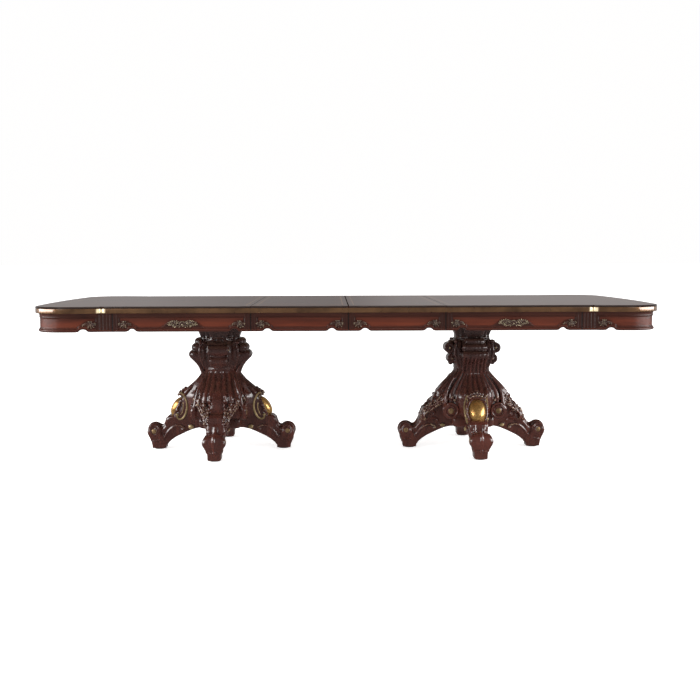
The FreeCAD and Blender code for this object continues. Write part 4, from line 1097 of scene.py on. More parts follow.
def scroll_foot(vol):
    """The scroll at the end of a leg, with its block below; local a is the leg's direction."""
    front = [(0, 35), (38, 36), (50, 40), (62, 46), (76, 52), (92, 55), (106, 53), (118, 47), (128, 40), (138, 31)]

    def roll(A, B, Z):
        rad = np.sqrt((A - 352) ** 2 + (Z - 101) ** 2) - 36.0
        return smax(rad, np.abs(B) - interp(Z, front), 13.0)
    vol.add(roll, (314, -58, 64), (392, 58, 140), 8.0)
    plate(vol, [(294, 4), (366, 4), (368, 22), (372, 42), (379, 62), (386, 82), (388, 100), (330, 104), (306, 70), (294, 40)],
          lambda A, Z: interp(Z, front) - 1.0 + 0 * A, k=6.0, round_=9.0)
    # the edge of the roll turns in on both cheeks and ends round the disc
    for s in (-1, 1):
        turn = []
        for i in range(30):
            t = i / 29
            ang = math.radians(150 - 400 * t)
            r = 30.5 - 16.0 * t
            z = 99 + r * math.sin(ang)
            w = float(np.interp(z, *zip(*front)))
            turn.append((352 + r * math.cos(ang), s * (min(w, 54.5) + 0.5 - 1.5 * t), z))
        vol.string(turn, 4.2, 3.2, 3.0)
    # shallow centre ridge over the scroll and down the block
    ridge = [(352 + 37.0 * math.cos(t), 0, 101 + 37.0 * math.sin(t)) for t in np.linspace(math.radians(150), math.radians(-25), 14)]
    vol.string(ridge + [(378, 0, 56), (370, 0, 30)], 4.0, 3.0, 7.0)
    # collar line above the block
    for s in (-1, 1):
        vol.string(catmull([(300, s * 36, 60), (330, s * 41, 50), (358, s * 40, 46), (374, s * 26, 46), (379, 0, 46)], 4),
                   2.6, 2.2, 2.5)


def web_width(A, Z):
    """Half width of the medallion buttress: it spreads out as it runs into the bulb."""
    w = interp(Z, [(413, 30), (369, 38), (326, 46), (289, 52), (245, 54), (200, 54), (170, 51), (150, 47), (132, 44),
                   (100, 43), (60, 37), (0, 35)]) + 0 * A
    d = A - interp(Z, BULB_A)
    flare = np.clip(1 - d / 62.0, 0, 1) ** 2 * interp(Z, [(120, 4), (165, 12), (200, 28), (250, 32), (300, 34), (360, 26), (405, 12),
                                                        (420, 6)])
    return w + flare


def medallion_leg(h=2.2):
    vol = Vol((52, -h / 2, 1.0), (402, 112, 424), h)
    body = [(60, 418), (95, 418), (103, 410), (105.5, 402), (114, 390), (134, 367), (160, 345), (184, 324), (205, 305), (217, 292),
            (214, 288), (199, 281), (236, 187), (246, 183), (256, 183), (263, 180), (271, 175), (286, 163), (292, 145), (297, 130), (308, 118), (330, 110), (340, 70),
            (300, 30)] + UNDERSIDE[2:] + [(60, 116)]
    def fluted(A, B, Z):
        f = smax(polygon_field(body, A, Z), np.abs(B) - web_width(A, Z), 16.0)
        pitch = interp(Z, [(420, 18.5), (404, 19.5), (388, 22.0), (368, 24.5), (345, 26.5), (320, 27.5), (300, 28.0)])
        rib = (0.5 + 0.5 * np.cos(2 * math.pi * B / pitch)) ** 0.62
        return f + interp(Z, [(424, 3.6), (405, 5.2), (360, 7.4), (322, 7.4), (308, 3.2), (300, 0.0)]) * (1 - rib)
    vol.add(fluted, (60, 0, 18), (340, 104, 418), 3.0)
    # dark hollow on each cheek between the oval's frame and the gold ring
    vol.cut(lambda A, B, Z: (np.sqrt(((A - 212 + (Z - 240) * 0.22) / 19.0) ** 2 + ((B - 60) / 11.0) ** 2
                                     + ((Z - 238) / 52.0) ** 2) - 1) * 11,
            (180, 44, 180), (244, 74, 296), 5.0)
    # curved ridge from the waist down to the gold ring, and the small leaf on the web
    fold = [(150, 56, 338), (170, 56, 318), (186, 55, 300)]
    vol.string(catmull(fold, 4), 4.0, 5.0, 9.0)
    leaf = [(125, 71, 330), (128, 84, 314), (132, 91, 296), (135, 89, 284)]
    vol.string(catmull(leaf, 4), 3.0, 5.0, 3.0)
    # knee roll below the medallion and its two bosses
    drum(vol, (262, 0, 150), 30.5, 43.0, k=9.0, round_=11.0)
    vol.ball((273, 33, 152), (13, 12, 24), 10.0)
    # ridges running from the knee to the scroll
    for u, r in ((25.0, 5.0),):
        vol.string([(272, u, 175), (287, u, 162), (294, u * 0.96, 142), (303, u * 0.88, 126), (318, u * 0.8, 120),
                    (336, u * 0.7, 130)], r, r * 0.8, 8.0)
    # oval frame on the facet: normal (0.918, 0, 0.396)
    nrm = np.array([0.918, 0, 0.396])
    dwn = np.array([0.396, 0, -0.918])
    mid = np.array([223.4, 0, 224.9])
    ring = []
    for i in range(40):
        t = 2 * math.pi * i / 40
        cx_, sx_ = math.cos(t), math.sin(t)
        ring.append(mid + dwn * 64.0 * math.copysign(abs(cx_) ** 0.85, cx_)
                    + np.array([0, 1, 0]) * 48.5 * math.copysign(abs(sx_) ** 0.85, sx_) + nrm * 3.0)
    ring.append(ring[0])
    vol.string(ring, 5.8, 5.8, 3.0)
    # leaf tips lapping over the frame from outside
    for i in range(16):
        t = 2 * math.pi * (i + 0.5) / 16
        c = mid + dwn * 69.5 * math.cos(t) + np.array([0, 1, 0]) * 53.0 * math.sin(t) - nrm * 2.0
        d1 = dwn * math.cos(t) + np.array([0, 1, 0]) * math.sin(t)
        d2 = np.cross(nrm, d1)
        vol.ball(c, (8.5, 7.0, 6.5), 3.0, (d1, d2, nrm))
    # berries in two rows over the medallion, and the knob above them
    for u in (7.5, 22, 36):
        zz = 311 - 0.0098 * u * u
        rr = 216 + (311 - zz) * 0.42
        vol.ball((rr + 1.0, u, zz - 6), 7.0, 1.2)
    slope = ((0.7071, 0, -0.7071), (0, 1, 0), (0.7071, 0, 0.7071))
    vol.ball((201, 0, 308), (17, 40, 7), 5.0, slope)
    for u, r_, z_ in ((0, 203.5, 315.5), (14.5, 203.0, 313.5), (28, 203.5, 309.5)):
        vol.ball((r_, u, z_), 6.6, 1.5)
    vol.ball((191, 0, 323), (10, 13, 7), 3.0, slope)
    vol.ball((190, 19, 320), (8, 8, 6), 3.0, slope)
    vol.ball((209, 44, 299), (9, 9, 10), 4.0)
    # raised line along the lower edge of the cheek and the leaf at its inner end
    low = [(299, 40, 66), (283, 42, 92), (262, 44.5, 114), (240, 46, 127), (216, 46.5, 128), (199, 46.5, 120),
           (196, 46, 110), (206, 45.5, 107)]
    vol.string(catmull(low, 4), 4.6, 3.6, 3.0)
    vol.ball((158, 44, 124), (15, 8, 9), 4.0)
    scroll_foot(vol)
    vol.F[:, 0, :] = vol.F[:, 1, :]
    # the net closes inside the bulb and the column
    for i in range(3):
        sl = [slice(None)] * 3
        sl[i] = -1
        vol.F[tuple(sl)] = np.maximum(vol.F[tuple(sl)], 0.4)
        if i != 1:
            sl[i] = 0
            vol.F[tuple(sl)] = np.maximum(vol.F[tuple(sl)], 0.4)
    v, q = vol.net()
    return mirror_net(v, q, 1)


# arc length round the bulb's plan, so that the flutes are evenly wide
PSI = np.linspace(0, math.pi / 2, 200)
_c, _s = np.cos(PSI), np.sin(PSI)
_r = 1 / ((_s / 130.0) ** 3 + (_c / 178.0) ** 3) ** (1 / 3)
_xy = np.stack([_r * _s, _r * _c], 1)
ARC = np.concatenate([[0], np.cumsum(np.linalg.norm(np.diff(_xy, axis=0), axis=1))])
ARC /= ARC[-1]
CLUSTER = catmull([(152, 98, 284), (166, 94, 266), (190, 80, 248), (214, 67, 230), (238, 57, 212), (258, 52, 192),
                   (266, 52, 172), (262, 56, 158)], 6)


def foliage_leg(h):
    """One foliage leg with a along its direction; returned as a field for the bulb's grid."""
    leg = Vol((60, -h / 2, 1.0), (402, 168, 424), h)
    body = [(60, 330), (150, 330), (178, 313), (199, 290), (211, 264), (218, 244), (228, 225), (240, 216), (257, 211),
            (266, 203), (270, 190), (273, 170), (281, 152), (290, 137), (299, 124), (320, 115), (340, 108), (340, 70), (300, 30)] + UNDERSIDE[2:] + \
           [(60, 116)]

    def width(A, Z):
        return interp(Z, [(330, 12), (300, 26), (285, 32), (245, 39), (214, 44), (180, 47), (148, 47), (132, 44),
                          (100, 43), (60, 37), (0, 35)]) + 0 * A
    plate(leg, body, width, k=3.0, round_=18.0, lo=(60, 0, 18), hi=(340, 60, 330))
    drum(leg, (256, 0, 152), 27.0, 42.0, k=11.0, round_=11.0)
    leg.ball((262, 32, 148), (13, 12, 20), 12.0)
    leg.string([(280, 0, 158), (289, 0, 140), (299, 0, 126), (318, 0, 120), (338, 0, 132)], 4.5, 4.0, 15.0)
    # cap over the knee
    drum(leg, (247, 0, 203), 13.5, 33.0, k=6.0, round_=10.0)
    # the cheek: a raised line along its lower edge that curls at the inner end, a leaf there, and a softer fold above
    low = [(299, 38, 68), (283, 41, 92), (262, 44, 113), (240, 47, 126), (217, 49, 127), (200, 50, 119), (197, 49, 110),
           (207, 47, 107)]
    leg.string(catmull(low, 4), 4.6, 3.4, 3.0)
    leg.ball((158, 49, 124), (15, 8, 9), 4.0)
    fold = [(304, 36, 92), (286, 42, 122), (262, 46, 146), (232, 47, 160), (203, 47, 160), (182, 50, 148)]
    leg.string(catmull(fold, 4), 6.5, 4.5, 5.0)
    leg.cut(lambda A, B, Z: (np.sqrt(((A - 222) / 34.0) ** 2 + ((B - 52) / 9.0) ** 2 + ((Z - 143 - (A - 222) * -0.30) / 11.0) ** 2)
                             - 1) * 9, (186, 42, 122), (258, 62, 170), 3.5)
    curl = []
    for i in range(22):
        t = i / 21
        ang = math.radians(-60 + 330 * t)
        r = 19.0 - 10.0 * t
        curl.append((212 + r * math.cos(ang), 47.0, 187 + r * math.sin(ang)))
    leg.string(curl, 4.4, 2.8, 2.5)
    leg.string(catmull([(221, 47, 170), (240, 46, 176), (256, 44, 186)], 4), 4.4, 3.0, 3.0)
    # foliage and flowers on both sides of the thigh
    rng = np.random.RandomState(11)
    steps = CLUSTER[::2]
    for i, p in enumerate(steps):
        t = i / (len(steps) - 1)
        a, b = max(2 * i - 2, 0), min(2 * i + 2, len(CLUSTER) - 1)
        tan = CLUSTER[b] - CLUSTER[a]
        tan /= np.linalg.norm(tan)
        out = np.array([0.62, 0.62, 0.48])
        out -= tan * (out @ tan)
        out /= np.linalg.norm(out)
        across = np.cross(tan, out)
        wide = 19.0 - 7.0 * t
        for j, f in enumerate((-1.0, -0.35, 0.35, 1.0)):
            c = p + across * (f * wide + rng.uniform(-2, 2)) + out * (2.0 * (1 - abs(f)) + rng.uniform(-1, 1.5)) \
                + tan * rng.uniform(-3, 3)
            ang = f * 0.9 + rng.uniform(-0.35, 0.35)
            d1 = tan * math.cos(ang) + across * math.sin(ang)
            d2 = np.cross(out, d1)
            rr = 6.2 + rng.uniform(-0.8, 0.8) - 1.2 * t
            leg.ball(c, (rr * 1.65, rr * 0.66, rr * 0.95), 1.0, (d1, d2, out))
    # two leaves that curl over at the tip, on each side
    for pts in (((150, 84, 300), (168, 90, 290), (183, 96, 276), (190, 98, 262), (184, 99, 254), (176, 98, 260)),
                ((196, 60, 262), (212, 66, 254), (225, 72, 242), (229, 74, 230), (222, 75, 224), (215, 74, 231))):
        leg.string(catmull(pts, 4), 4.6, 3.0, 1.5)
    for p, r in (((184, 88, 256), 9.5), ((222, 70, 232), 10.0), ((254, 60, 204), 9.0), ((158, 101, 277), 7.5), ((268, 58, 176), 7.5)):
        p = np.array(p, float)
        out = np.array([0.62, 0.62, 0.48])
        e1 = np.cross(out, (0, 0, 1.0))
        e1 /= np.linalg.norm(e1)
        e2 = np.cross(out, e1)
        for k in range(6):
            a = 2 * math.pi * k / 6
            d = e1 * math.cos(a) + e2 * math.sin(a)
            leg.ball(p + d * r * 0.85 + out * 3, (r * 0.52, r * 0.4, r * 0.34), 0.8,
                     (d, np.cross(out, d) / np.linalg.norm(out), out / np.linalg.norm(out)))
        leg.ball(p + out * 5.5, r * 0.36, 0.6)
    # leaves along the inner edge of the clusters
    for p in ((180, 38, 300), (198, 38, 280), (208, 38, 258), (222, 41, 240), (240, 43, 224), (258, 44, 206)):
        leg.ball(p, (8, 5, 12), 2.5)
    scroll_foot(leg)
    return leg


def bulb_flutes(A, B, Z):
    """Crest (1) or hollow (0) of the bulb's flutes, the distance outside its plan line, and their depth."""
    HA, HB = interp(Z, BULB_A), interp(Z, BULB_B)
    a, b = np.abs(A) + 1e-3, np.abs(B) + 1e-3
    rho = np.sqrt(a * a + b * b)
    R = rho / ((a / HA) ** 2.7 + (b / HB) ** 2.7) ** (1 / 2.7)
    psi = np.arctan2(a * (130.0 / HA), b * (178.0 / HB))
    t = np.interp(psi.reshape(-1), PSI, ARC).reshape(psi.shape).astype(np.float32)
    # the flutes spread to the corners, so that the middle ones are the widest
    rib = (0.5 + 0.5 * np.cos(2 * math.pi * 7.5 * t)) ** 0.62
    amp = interp(Z, [(424, 3.4), (405, 5.2), (360, 7.6), (290, 8.6), (250, 7.2), (220, 3.8), (195, 1.0), (180, 0.0)])
    amp = amp * (1 - (1 - sstep(a, 20, 32)) * (1 - sstep(Z, 318, 348)))
    return rib, rho - R, amp


def bulb_body(h=2.8):
    """The fluted bulb with its rolled lower edge and corner volutes, and the two foliage legs. Quarter, mirrored."""
    vol = Vol((-h / 2, -h / 2, 1.0), (168, 402, 424), h)

    def fn(A, B, Z):
        rib, off, amp = bulb_flutes(A, B, Z)
        HB = interp(Z, BULB_B)
        cosv = 1 / np.sqrt(1 + np.gradient(HB.reshape(-1), h).reshape(HB.shape) ** 2)
        return (off * cosv + amp * (1 - rib)).astype(np.float32)
    vol.add(fn, (0, 0, 168), (150, 205, 424), 0.0, pad=20)
    # lower block between the legs
    vol.add(lambda A, B, Z: smax(smax(np.abs(A) - interp(Z, [(118, 104), (135, 112), (160, 112), (190, 104)]),
                                      np.abs(B) - interp(Z, [(118, 104), (135, 112), (160, 112), (190, 104)]), 30.0),
                                 smax(119 - Z, Z - 196, 3), 12.0), (0, 0, 118), (125, 125, 196), 6.0)
    # rolled lower edge, with the volute at its end
    drum(vol, (0, 122, 213), 36.0, 132.0, k=9.0, round_=10.0, axis=0)
    drum(vol, (128, 124, 213), 43.0, 15.0, k=5.0, round_=11.0, axis=0)
    spiral(vol, (144.5, 124, 213), 33, 19, 1.2, math.radians(80), 7.0, 2.0, (1, 2), 40, True, 1.0, 4.6)
    spiral(vol, (139.5, 124, 213), 40, 24, 1.15, math.radians(70), 6.0, 2.0, (1, 2), 40, False, 1.0, 4.6)
    vol.ball((138, 124, 213), (6, 16, 16), 1.5)
    # the scroll's stem runs up the bulb's corner from the volute
    stem = [(131, 160, 222), (124, 153, 240), (119, 149, 262), (114, 146, 294), (103, 137, 326), (92, 119, 356), (82, 101, 384)]
    vol.string(catmull(stem, 4), 8.5, 4.0, 7.0)
    vol.ball((128.6, 115.8, 281), (8, 9, 10), 3.0)
    vol.ball((132.6, 104.6, 270), (6, 6.5, 8), 2.5)

    leg = foliage_leg(h)
    # transpose into the shared grid: the leg's a is the body's b
    ia = int(np.searchsorted(vol.ax[1], leg.ax[0][0] - 1e-3))
    src = np.transpose(leg.F, (1, 0, 2))
    t = float(vol.ax[1][ia] - leg.ax[0][0]) / h
    if t > 1e-3:
        src = src[:, :-1] * (1 - t) + src[:, 1:] * t
    n0, n1, n2 = (min(vol.F.shape[0], src.shape[0]), min(vol.F.shape[1] - ia, src.shape[1]), vol.F.shape[2])
    vol.F[:n0, ia:ia + n1, :] = smin(vol.F[:n0, ia:ia + n1, :], src[:n0, :n1, :n2], 7.0)
    vol.F[0] = vol.F[1]
    vol.F[:, 0] = vol.F[:, 1]
    for i in range(3):
        sl = [slice(None)] * 3
        sl[i] = -1
        vol.F[tuple(sl)] = np.maximum(vol.F[tuple(sl)], 0.4)
    vol.F[:, :, 0] = np.maximum(vol.F[:, :, 0], 0.4)
    v, q = vol.net()
    v, q = mirror_net(v, q, 0)
    return mirror_net(v, q, 1)


def shaft(h=2.55):
    """Neck, carved collar and waist ring. Quarter, mirrored."""
    vol = Vol((-h / 2, -h / 2, 404), (176, 176, 671.6), h)
    core = [(400, 92), (425, 92), (450, 98), (480, 108), (520, 112), (560, 106), (585, 93), (600, 86), (640, 88), (672, 98)]
    vol.add(lambda A, B, Z: np.sqrt(A * A + B * B) - interp(Z, core), (0, 0, 400), (120, 120, 672), 0.0, pad=20)
    RA = [(671, 112), (655, 115), (640, 114), (620, 110), (605, 104), (592, 100), (583, 100), (560, 100)]
    RB = [(671, 106), (655, 107), (640, 103), (620, 96), (605, 91), (599, 90), (583, 92), (560, 98)]
    for which, tab in ((0, RA), (1, RB)):
        def fn(A, B, Z, which=which, tab=tab):
            P, Q = (A, B) if which == 0 else (B, A)
            return smax(np.abs(P) - interp(Z, tab), np.abs(Q) - interp(Z, [(671, 64), (640, 58), (600, 48), (560, 46)]), 22.0)
        vol.add(fn, (0, 0, 560), (125, 125, 672), 6.0)

        def groove(A, B, Z, which=which, tab=tab):
            P, Q = (A, B) if which == 0 else (B, A)
            d = np.abs(np.abs(Q) - interp(Z, [(671, 30), (640, 25), (600, 17)]))
            return np.sqrt(d ** 2 + (P - interp(Z, tab) - 1.5) ** 2) - 4.6
        vol.cut(groove, (0, 0, 588), (125, 125, 672), 3.0)
    # scrolled stem in each channel
    vol.string([(70, 70, 668), (68, 68, 644), (62, 62, 616), (64, 64, 590)], 10.0, 8.0, 6.0)
    # rings where the neck meets the collar
    vol.add(lambda A, B, Z: np.sqrt((np.sqrt(A * A + (1.08 * B) ** 2) - 94) ** 2 + (Z - 590) ** 2) - 6.5, (0, 0, 582), (104, 104, 598), 4.0)

    # collar on the b side: two plain rolls, their ends turned as small volutes
    for c, r, hl in (((0, 121, 535), 28.0, 53.0), ((0, 108, 477), 26.0, 45.0)):
        drum(vol, c, r, hl, k=4.0, round_=9.0, axis=0)
        spiral(vol, (hl + 0.5, c[1], c[2]), r * 0.66, r * 0.30, 1.05, 0.5, 3.6, 1.6, (1, 2), 20, True, 1.0, 2.8)
        vol.ball((hl - 2, c[1], c[2]), (5.5, 6.0, 6.0), 1.0)
    vol.add(lambda A, B, Z: np.sqrt((A / 34.0) ** 2 + ((B - 112) / 16.0) ** 2 + ((Z - 506) / 12.0) ** 2) * 12 - 12,
            (0, 96, 494), (36, 130, 518), 4.0)
    vol.ball((0, 112, 452), (26, 12, 11), 5.0)
    # crest over the upper roll
    vol.ball((0, 112, 566), (44, 13, 9), 4.0)
    # collar on the a side: two smooth lumps and the wide rounded lip with flutes below it, all bowed round the drum
    def bow(A, B):
        return np.sqrt(A * A + 0.8 * B * B)
    for ca, cz, r, half in ((114, 573, 20.0, 56.0), (128, 542, 22.5, 68.0), (147, 508, 19.5, 71.0)):
        vol.add(lambda A, B, Z, ca=ca, cz=cz, r=r, half=half: smax(np.sqrt((bow(A, B) - ca) ** 2 + (Z - cz) ** 2) - r,
                                                                   np.abs(B) - half, 22.0),
                (ca - 46, 0, cz - r), (ca + r, half, cz + r), 5.0)
    # lobes over the two lumps
    for ca, cz, r, pitch, count in ((114, 573, 20.0, 15.5, 3), (129, 542, 22.0, 18.5, 3)):
        for k in range(count):
            u = k * pitch
            vol.ball((math.sqrt(ca * ca - 0.8 * u * u) + 1.5, u, cz), (r * 1.04, pitch * 0.56, r * 0.98), 1.5)
    lip = [(90, 526), (150, 520), (160, 500), (146, 484), (130, 468), (118, 450), (108, 430), (104, 416), (101.5, 408), (97, 405), (86, 405)]
    vol.add(lambda A, B, Z: smax(polygon_field(lip, bow(A, B), Z),
                                 np.abs(B) - interp(Z, [(526, 68), (500, 72), (484, 69), (450, 59), (420, 52)]), 18.0),
            (60, 0, 405), (162, 68, 526), 5.0)
    for k in range(4):
        run = []
        for ae, z, pitch in ((161, 507, 19.4), (155, 494, 19.2), (140, 478, 18.8), (125, 461, 18.5), (113, 442, 18.5), (105.5, 424, 18.5),
                             (101, 409, 18.5)):
            u = k * pitch
            run.append((math.sqrt(ae * ae - 0.8 * u * u), u, z))
        vol.string(catmull(run, 4), 7.6, 5.6, 1.6)
    # leaf standing at each diagonal, its tip curling out under the neck
    d = 1 / math.sqrt(2)
    for zz, rr, w, hh in ((556, 124, 15, 22), (528, 134, 18, 24), (498, 131, 17, 24), (468, 118, 15, 22), (442, 108, 12, 20)):
        c = (rr - 12) * d
        vol.ball((c, c, zz), (12, w, hh), 13.0, ((d, d, 0), (-d, d, 0), (0, 0, 1)))
    spine = [(86, 86, 578), (95, 95, 556), (99, 99, 528), (97, 97, 500), (88, 88, 470), (80, 80, 440)]
    vol.string(catmull(spine, 4), 4.4, 3.4, 7.0)
    vol.ball((97, 97, 572), (9, 9, 8), 3.0)
    # waist ring: rounded tops of the flutes
    for i in range(23):
        t = math.pi * 2 * i / 22
        if -0.3 < t < math.pi / 2 + 0.3:
            ra, rb = 101.0, 92.0
            x, y = ra * math.cos(t), rb * math.sin(t)
            e = np.array([math.cos(t), math.sin(t), 0])
            if abs(y) < 56 and x > 0:
                continue
            vol.ball((x - 5 * e[0], y - 5 * e[1], 412), (9.5, 11.0, 14.0), 3.5, (e, (-e[1], e[0], 0), (0, 0, 1)))
    vol.add(lambda A, B, Z: np.sqrt((np.sqrt((A / 1.05) ** 2 + (B / 0.98) ** 2) - 92) ** 2 + (Z - 431) ** 2) - 6.5,
            (0, 0, 424), (110, 110, 440), 5.0)
    vol.F[0] = vol.F[1]
    vol.F[:, 0] = vol.F[:, 1]
    vol.F[:, :, 0] = np.maximum(vol.F[:, :, 0], 0.4)
    vol.F[:, :, -1] = np.maximum(vol.F[:, :, -1], 0.4)
    v, q = vol.net()
    v, q = mirror_net(v, q, 0)
    return mirror_net(v, q, 1)


def polished(v, q, rounds=1, reach=4, scale=1.0):
    e = net_edges(q)
    v = relax(v, e, rounds, 0.5)
    return v, q, cavity(v, q, reach, scale)


def turned(v, quarter, cx):
    a = math.radians(90 * quarter)
    c, s = round(math.cos(a)), round(math.sin(a))
    return np.stack([v[:, 0] * c - v[:, 1] * s + cx, v[:, 0] * s + v[:, 1] * c, v[:, 2]], 1)


LEG = polished(*medallion_leg(), 1, 4, 1.9)
BULB = polished(*bulb_body(), 1, 4, 1.9)


def flute_shade_and_highlight(net, rib, weight):
    """Paints shade between the flutes and a highlight on their crests, through the cavity value."""
    v, q, cav = net
    return v, q, np.clip(cav + weight * (rib - 0.62) * 0.23, 0, 1)


def leg_flutes(v):
    A, B, Z = v[:, 0], np.abs(v[:, 1]), v[:, 2]
    pitch = interp(Z, [(420, 18.5), (404, 19.5), (388, 22.0), (368, 24.5), (345, 26.5), (320, 27.5), (300, 28.0)])
    rib = (0.5 + 0.5 * np.cos(2 * math.pi * B / pitch)) ** 0.62
    w = web_width(A.astype(np.float32), Z.astype(np.float32))
    return rib, sstep(Z, 306, 324) * (1 - sstep(B, w - 16, w - 6))


def bulb_weights(v):
    rib, off, amp = bulb_flutes(v[:, 0], v[:, 1], v[:, 2])
    return rib, (1 - sstep(np.abs(off), 11, 17)) * np.clip(amp / 6.0, 0, 1) * sstep(v[:, 2], 222, 262)


LEG = flute_shade_and_highlight(LEG, *leg_flutes(LEG[0]))
BULB = flute_shade_and_highlight(BULB, *bulb_weights(BULB[0]))
SHAFT = polished(*shaft(), 1, 4, 1.9)


def near(v, points, reach):
    """1 close to the given points or line, 0 beyond reach; both halves and both ends alike."""
    w = np.abs(v)
    best = np.full(len(v), 1e9)
    for p in points:
        best = np.minimum(best, ((w - np.asarray(p)) ** 2).sum(1))
    return 1 - sstep(np.sqrt(best), reach * 0.6, reach)


# where gold goes on the raised parts of the carving: partly gilding, partly painted glints
BULB_GILT_AND_GLINT = np.maximum(near(BULB[0], [(c[1], c[0], c[2]) for c in CLUSTER[::3]], 30.0) * 0.42,
                       near(BULB[0], [(130, 117, 281), (134, 106, 270)], 16.0),
                       )
BULB_GILT_AND_GLINT = np.maximum(BULB_GILT_AND_GLINT, near(BULB[0], [(44, 262, 113), (47, 240, 126), (49, 217, 127), (50, 200, 119), (49, 158, 124)],
                                       13.0) * 0.8)
LEG_GILT_AND_GLINT = np.maximum(near(LEG[0], [(216, 20, 304), (206, 5, 317), (212, 45, 300)], 22.0) * 0.7,
                      near(LEG[0], [(240, 47, 127), (216, 48, 128), (199, 48, 120), (262, 45, 114), (158, 50, 124)], 12.0) * 0.6)
SHAFT_GILT_AND_GLINT = near(SHAFT[0], [(52, 121, 535), (45, 108, 477)], 14.0)


def gold_trim():
    """Gilded details of one medallion side, in local axes: the ring, its knob, the inner line and the leaf at the cheek
    line's inner end, on both cheeks.
    """
    s = Soup()

    def on_web(pts, out):
        p = np.array(pts, float)
        w = web_width(p[:, 0].astype(np.float32), p[:, 1].astype(np.float32))
        w = w - 9.0 * np.exp(-(((p[:, 0] - 212 + (p[:, 1] - 240) * 0.22) / 15.0) ** 2 + ((p[:, 1] - 238) / 44.0) ** 4))
        return np.column_stack([p[:, 0], w + out, p[:, 1]])
    for u in (-1, 1):
        ring = [(213, 303), (204, 302), (192, 290), (180, 266), (175, 240), (177, 216), (184, 194), (194, 176), (206, 166),
                (218, 164), (227, 170), (230, 181)]
        ring = on_web(catmull(ring, 5), -0.5) * [1, u, 1]
        rad = np.interp(np.linspace(0, 1, len(ring)), [0, 0.08, 0.5, 0.9, 1], [3.4, 5.0, 5.4, 5.0, 4.0])
        s.add(*tube(ring, rad, 12))
        s.add(*dome((229, 50 * u, 186), (8.5, 8.5, 8.5), 16, 10))
        inner = on_web(catmull([(208, 288), (201, 270), (196, 246), (196, 222), (202, 200), (211, 187)], 5), -0.6) * [1, u, 1]
        s.add(*tube(inner, np.interp(np.linspace(0, 1, len(inner)), [0, 0.5, 1], [1.6, 3.0, 1.6]), 8))
        # leaf at the inner end of the cheek line
        s.add(*dome((158, 50.0 * u, 122), (13.5, 8.0, 12.0), 20, 12))
    return s


def dome(c, r, seg=16, rings=10):
    """A closed ellipsoid in mesh code. Returns verts, quads, polys."""
    v = [(0, 0, 1)]
    for i in range(1, rings):
        p = math.pi * i / rings
        for k in range(seg):
            a = 2 * math.pi * k / seg
            v.append((math.sin(p) * math.cos(a), math.sin(p) * math.sin(a), math.cos(p)))
    v.append((0, 0, -1))
    v = np.array(v) * np.array(r) + np.array(c)
    q = [(1 + i * seg + k, 1 + (i + 1) * seg + k, 1 + (i + 1) * seg + (k + 1) % seg, 1 + i * seg + (k + 1) % seg)
         for i in range(rings - 2) for k in range(seg)]
    last = len(v) - 1
    polys = [[0, 1 + k, 1 + (k + 1) % seg] for k in range(seg)]
    base = 1 + (rings - 2) * seg
    polys += [[last, base + (k + 1) % seg, base + k] for k in range(seg)]
    return v, np.array(q), polys


def oval_cabochon():
    """The gold oval: a deep boss that stands out of its frame, with a fine step round its edge."""
    nrm, dwn = np.array([0.918, 0, 0.396]), np.array([0.396, 0, -0.918])
    side_ = np.array([0.0, 1, 0])
    mid = np.array([223.4, 0, 224.9])
    prof = [(1.0, -4.0), (1.0, 3.0), (0.99, 4.4), (0.97, 4.8), (0.955, 4.2), (0.945, 4.6)]
    prof += [(0.945 * math.cos(t) ** 0.9, 4.6 + 33.0 * math.sin(t)) for t in np.linspace(0, math.pi / 2, 22)[1:-1]]
    n = 72
    v = []
    for k, hgt in prof:
        for i in range(n):
            a = 2 * math.pi * i / n
            e = math.copysign(abs(math.cos(a)) ** 0.86, math.cos(a)), math.copysign(abs(math.sin(a)) ** 0.86, math.sin(a))
            v.append(mid + dwn * (58.0 * k * e[0] + 0.42 * max(0.0, hgt - 4.6)) + side_ * 43.0 * k * e[1] + nrm * hgt)
    m = len(prof)
    v.append(mid + nrm * 37.6 + dwn * 13.9)
    polys = [list(range(n))] + [[(m - 1) * n + i, len(v) - 1, (m - 1) * n + (i + 1) % n] for i in range(n)]
    return np.array(v), ring_quads(n, m)[:, ::-1], polys


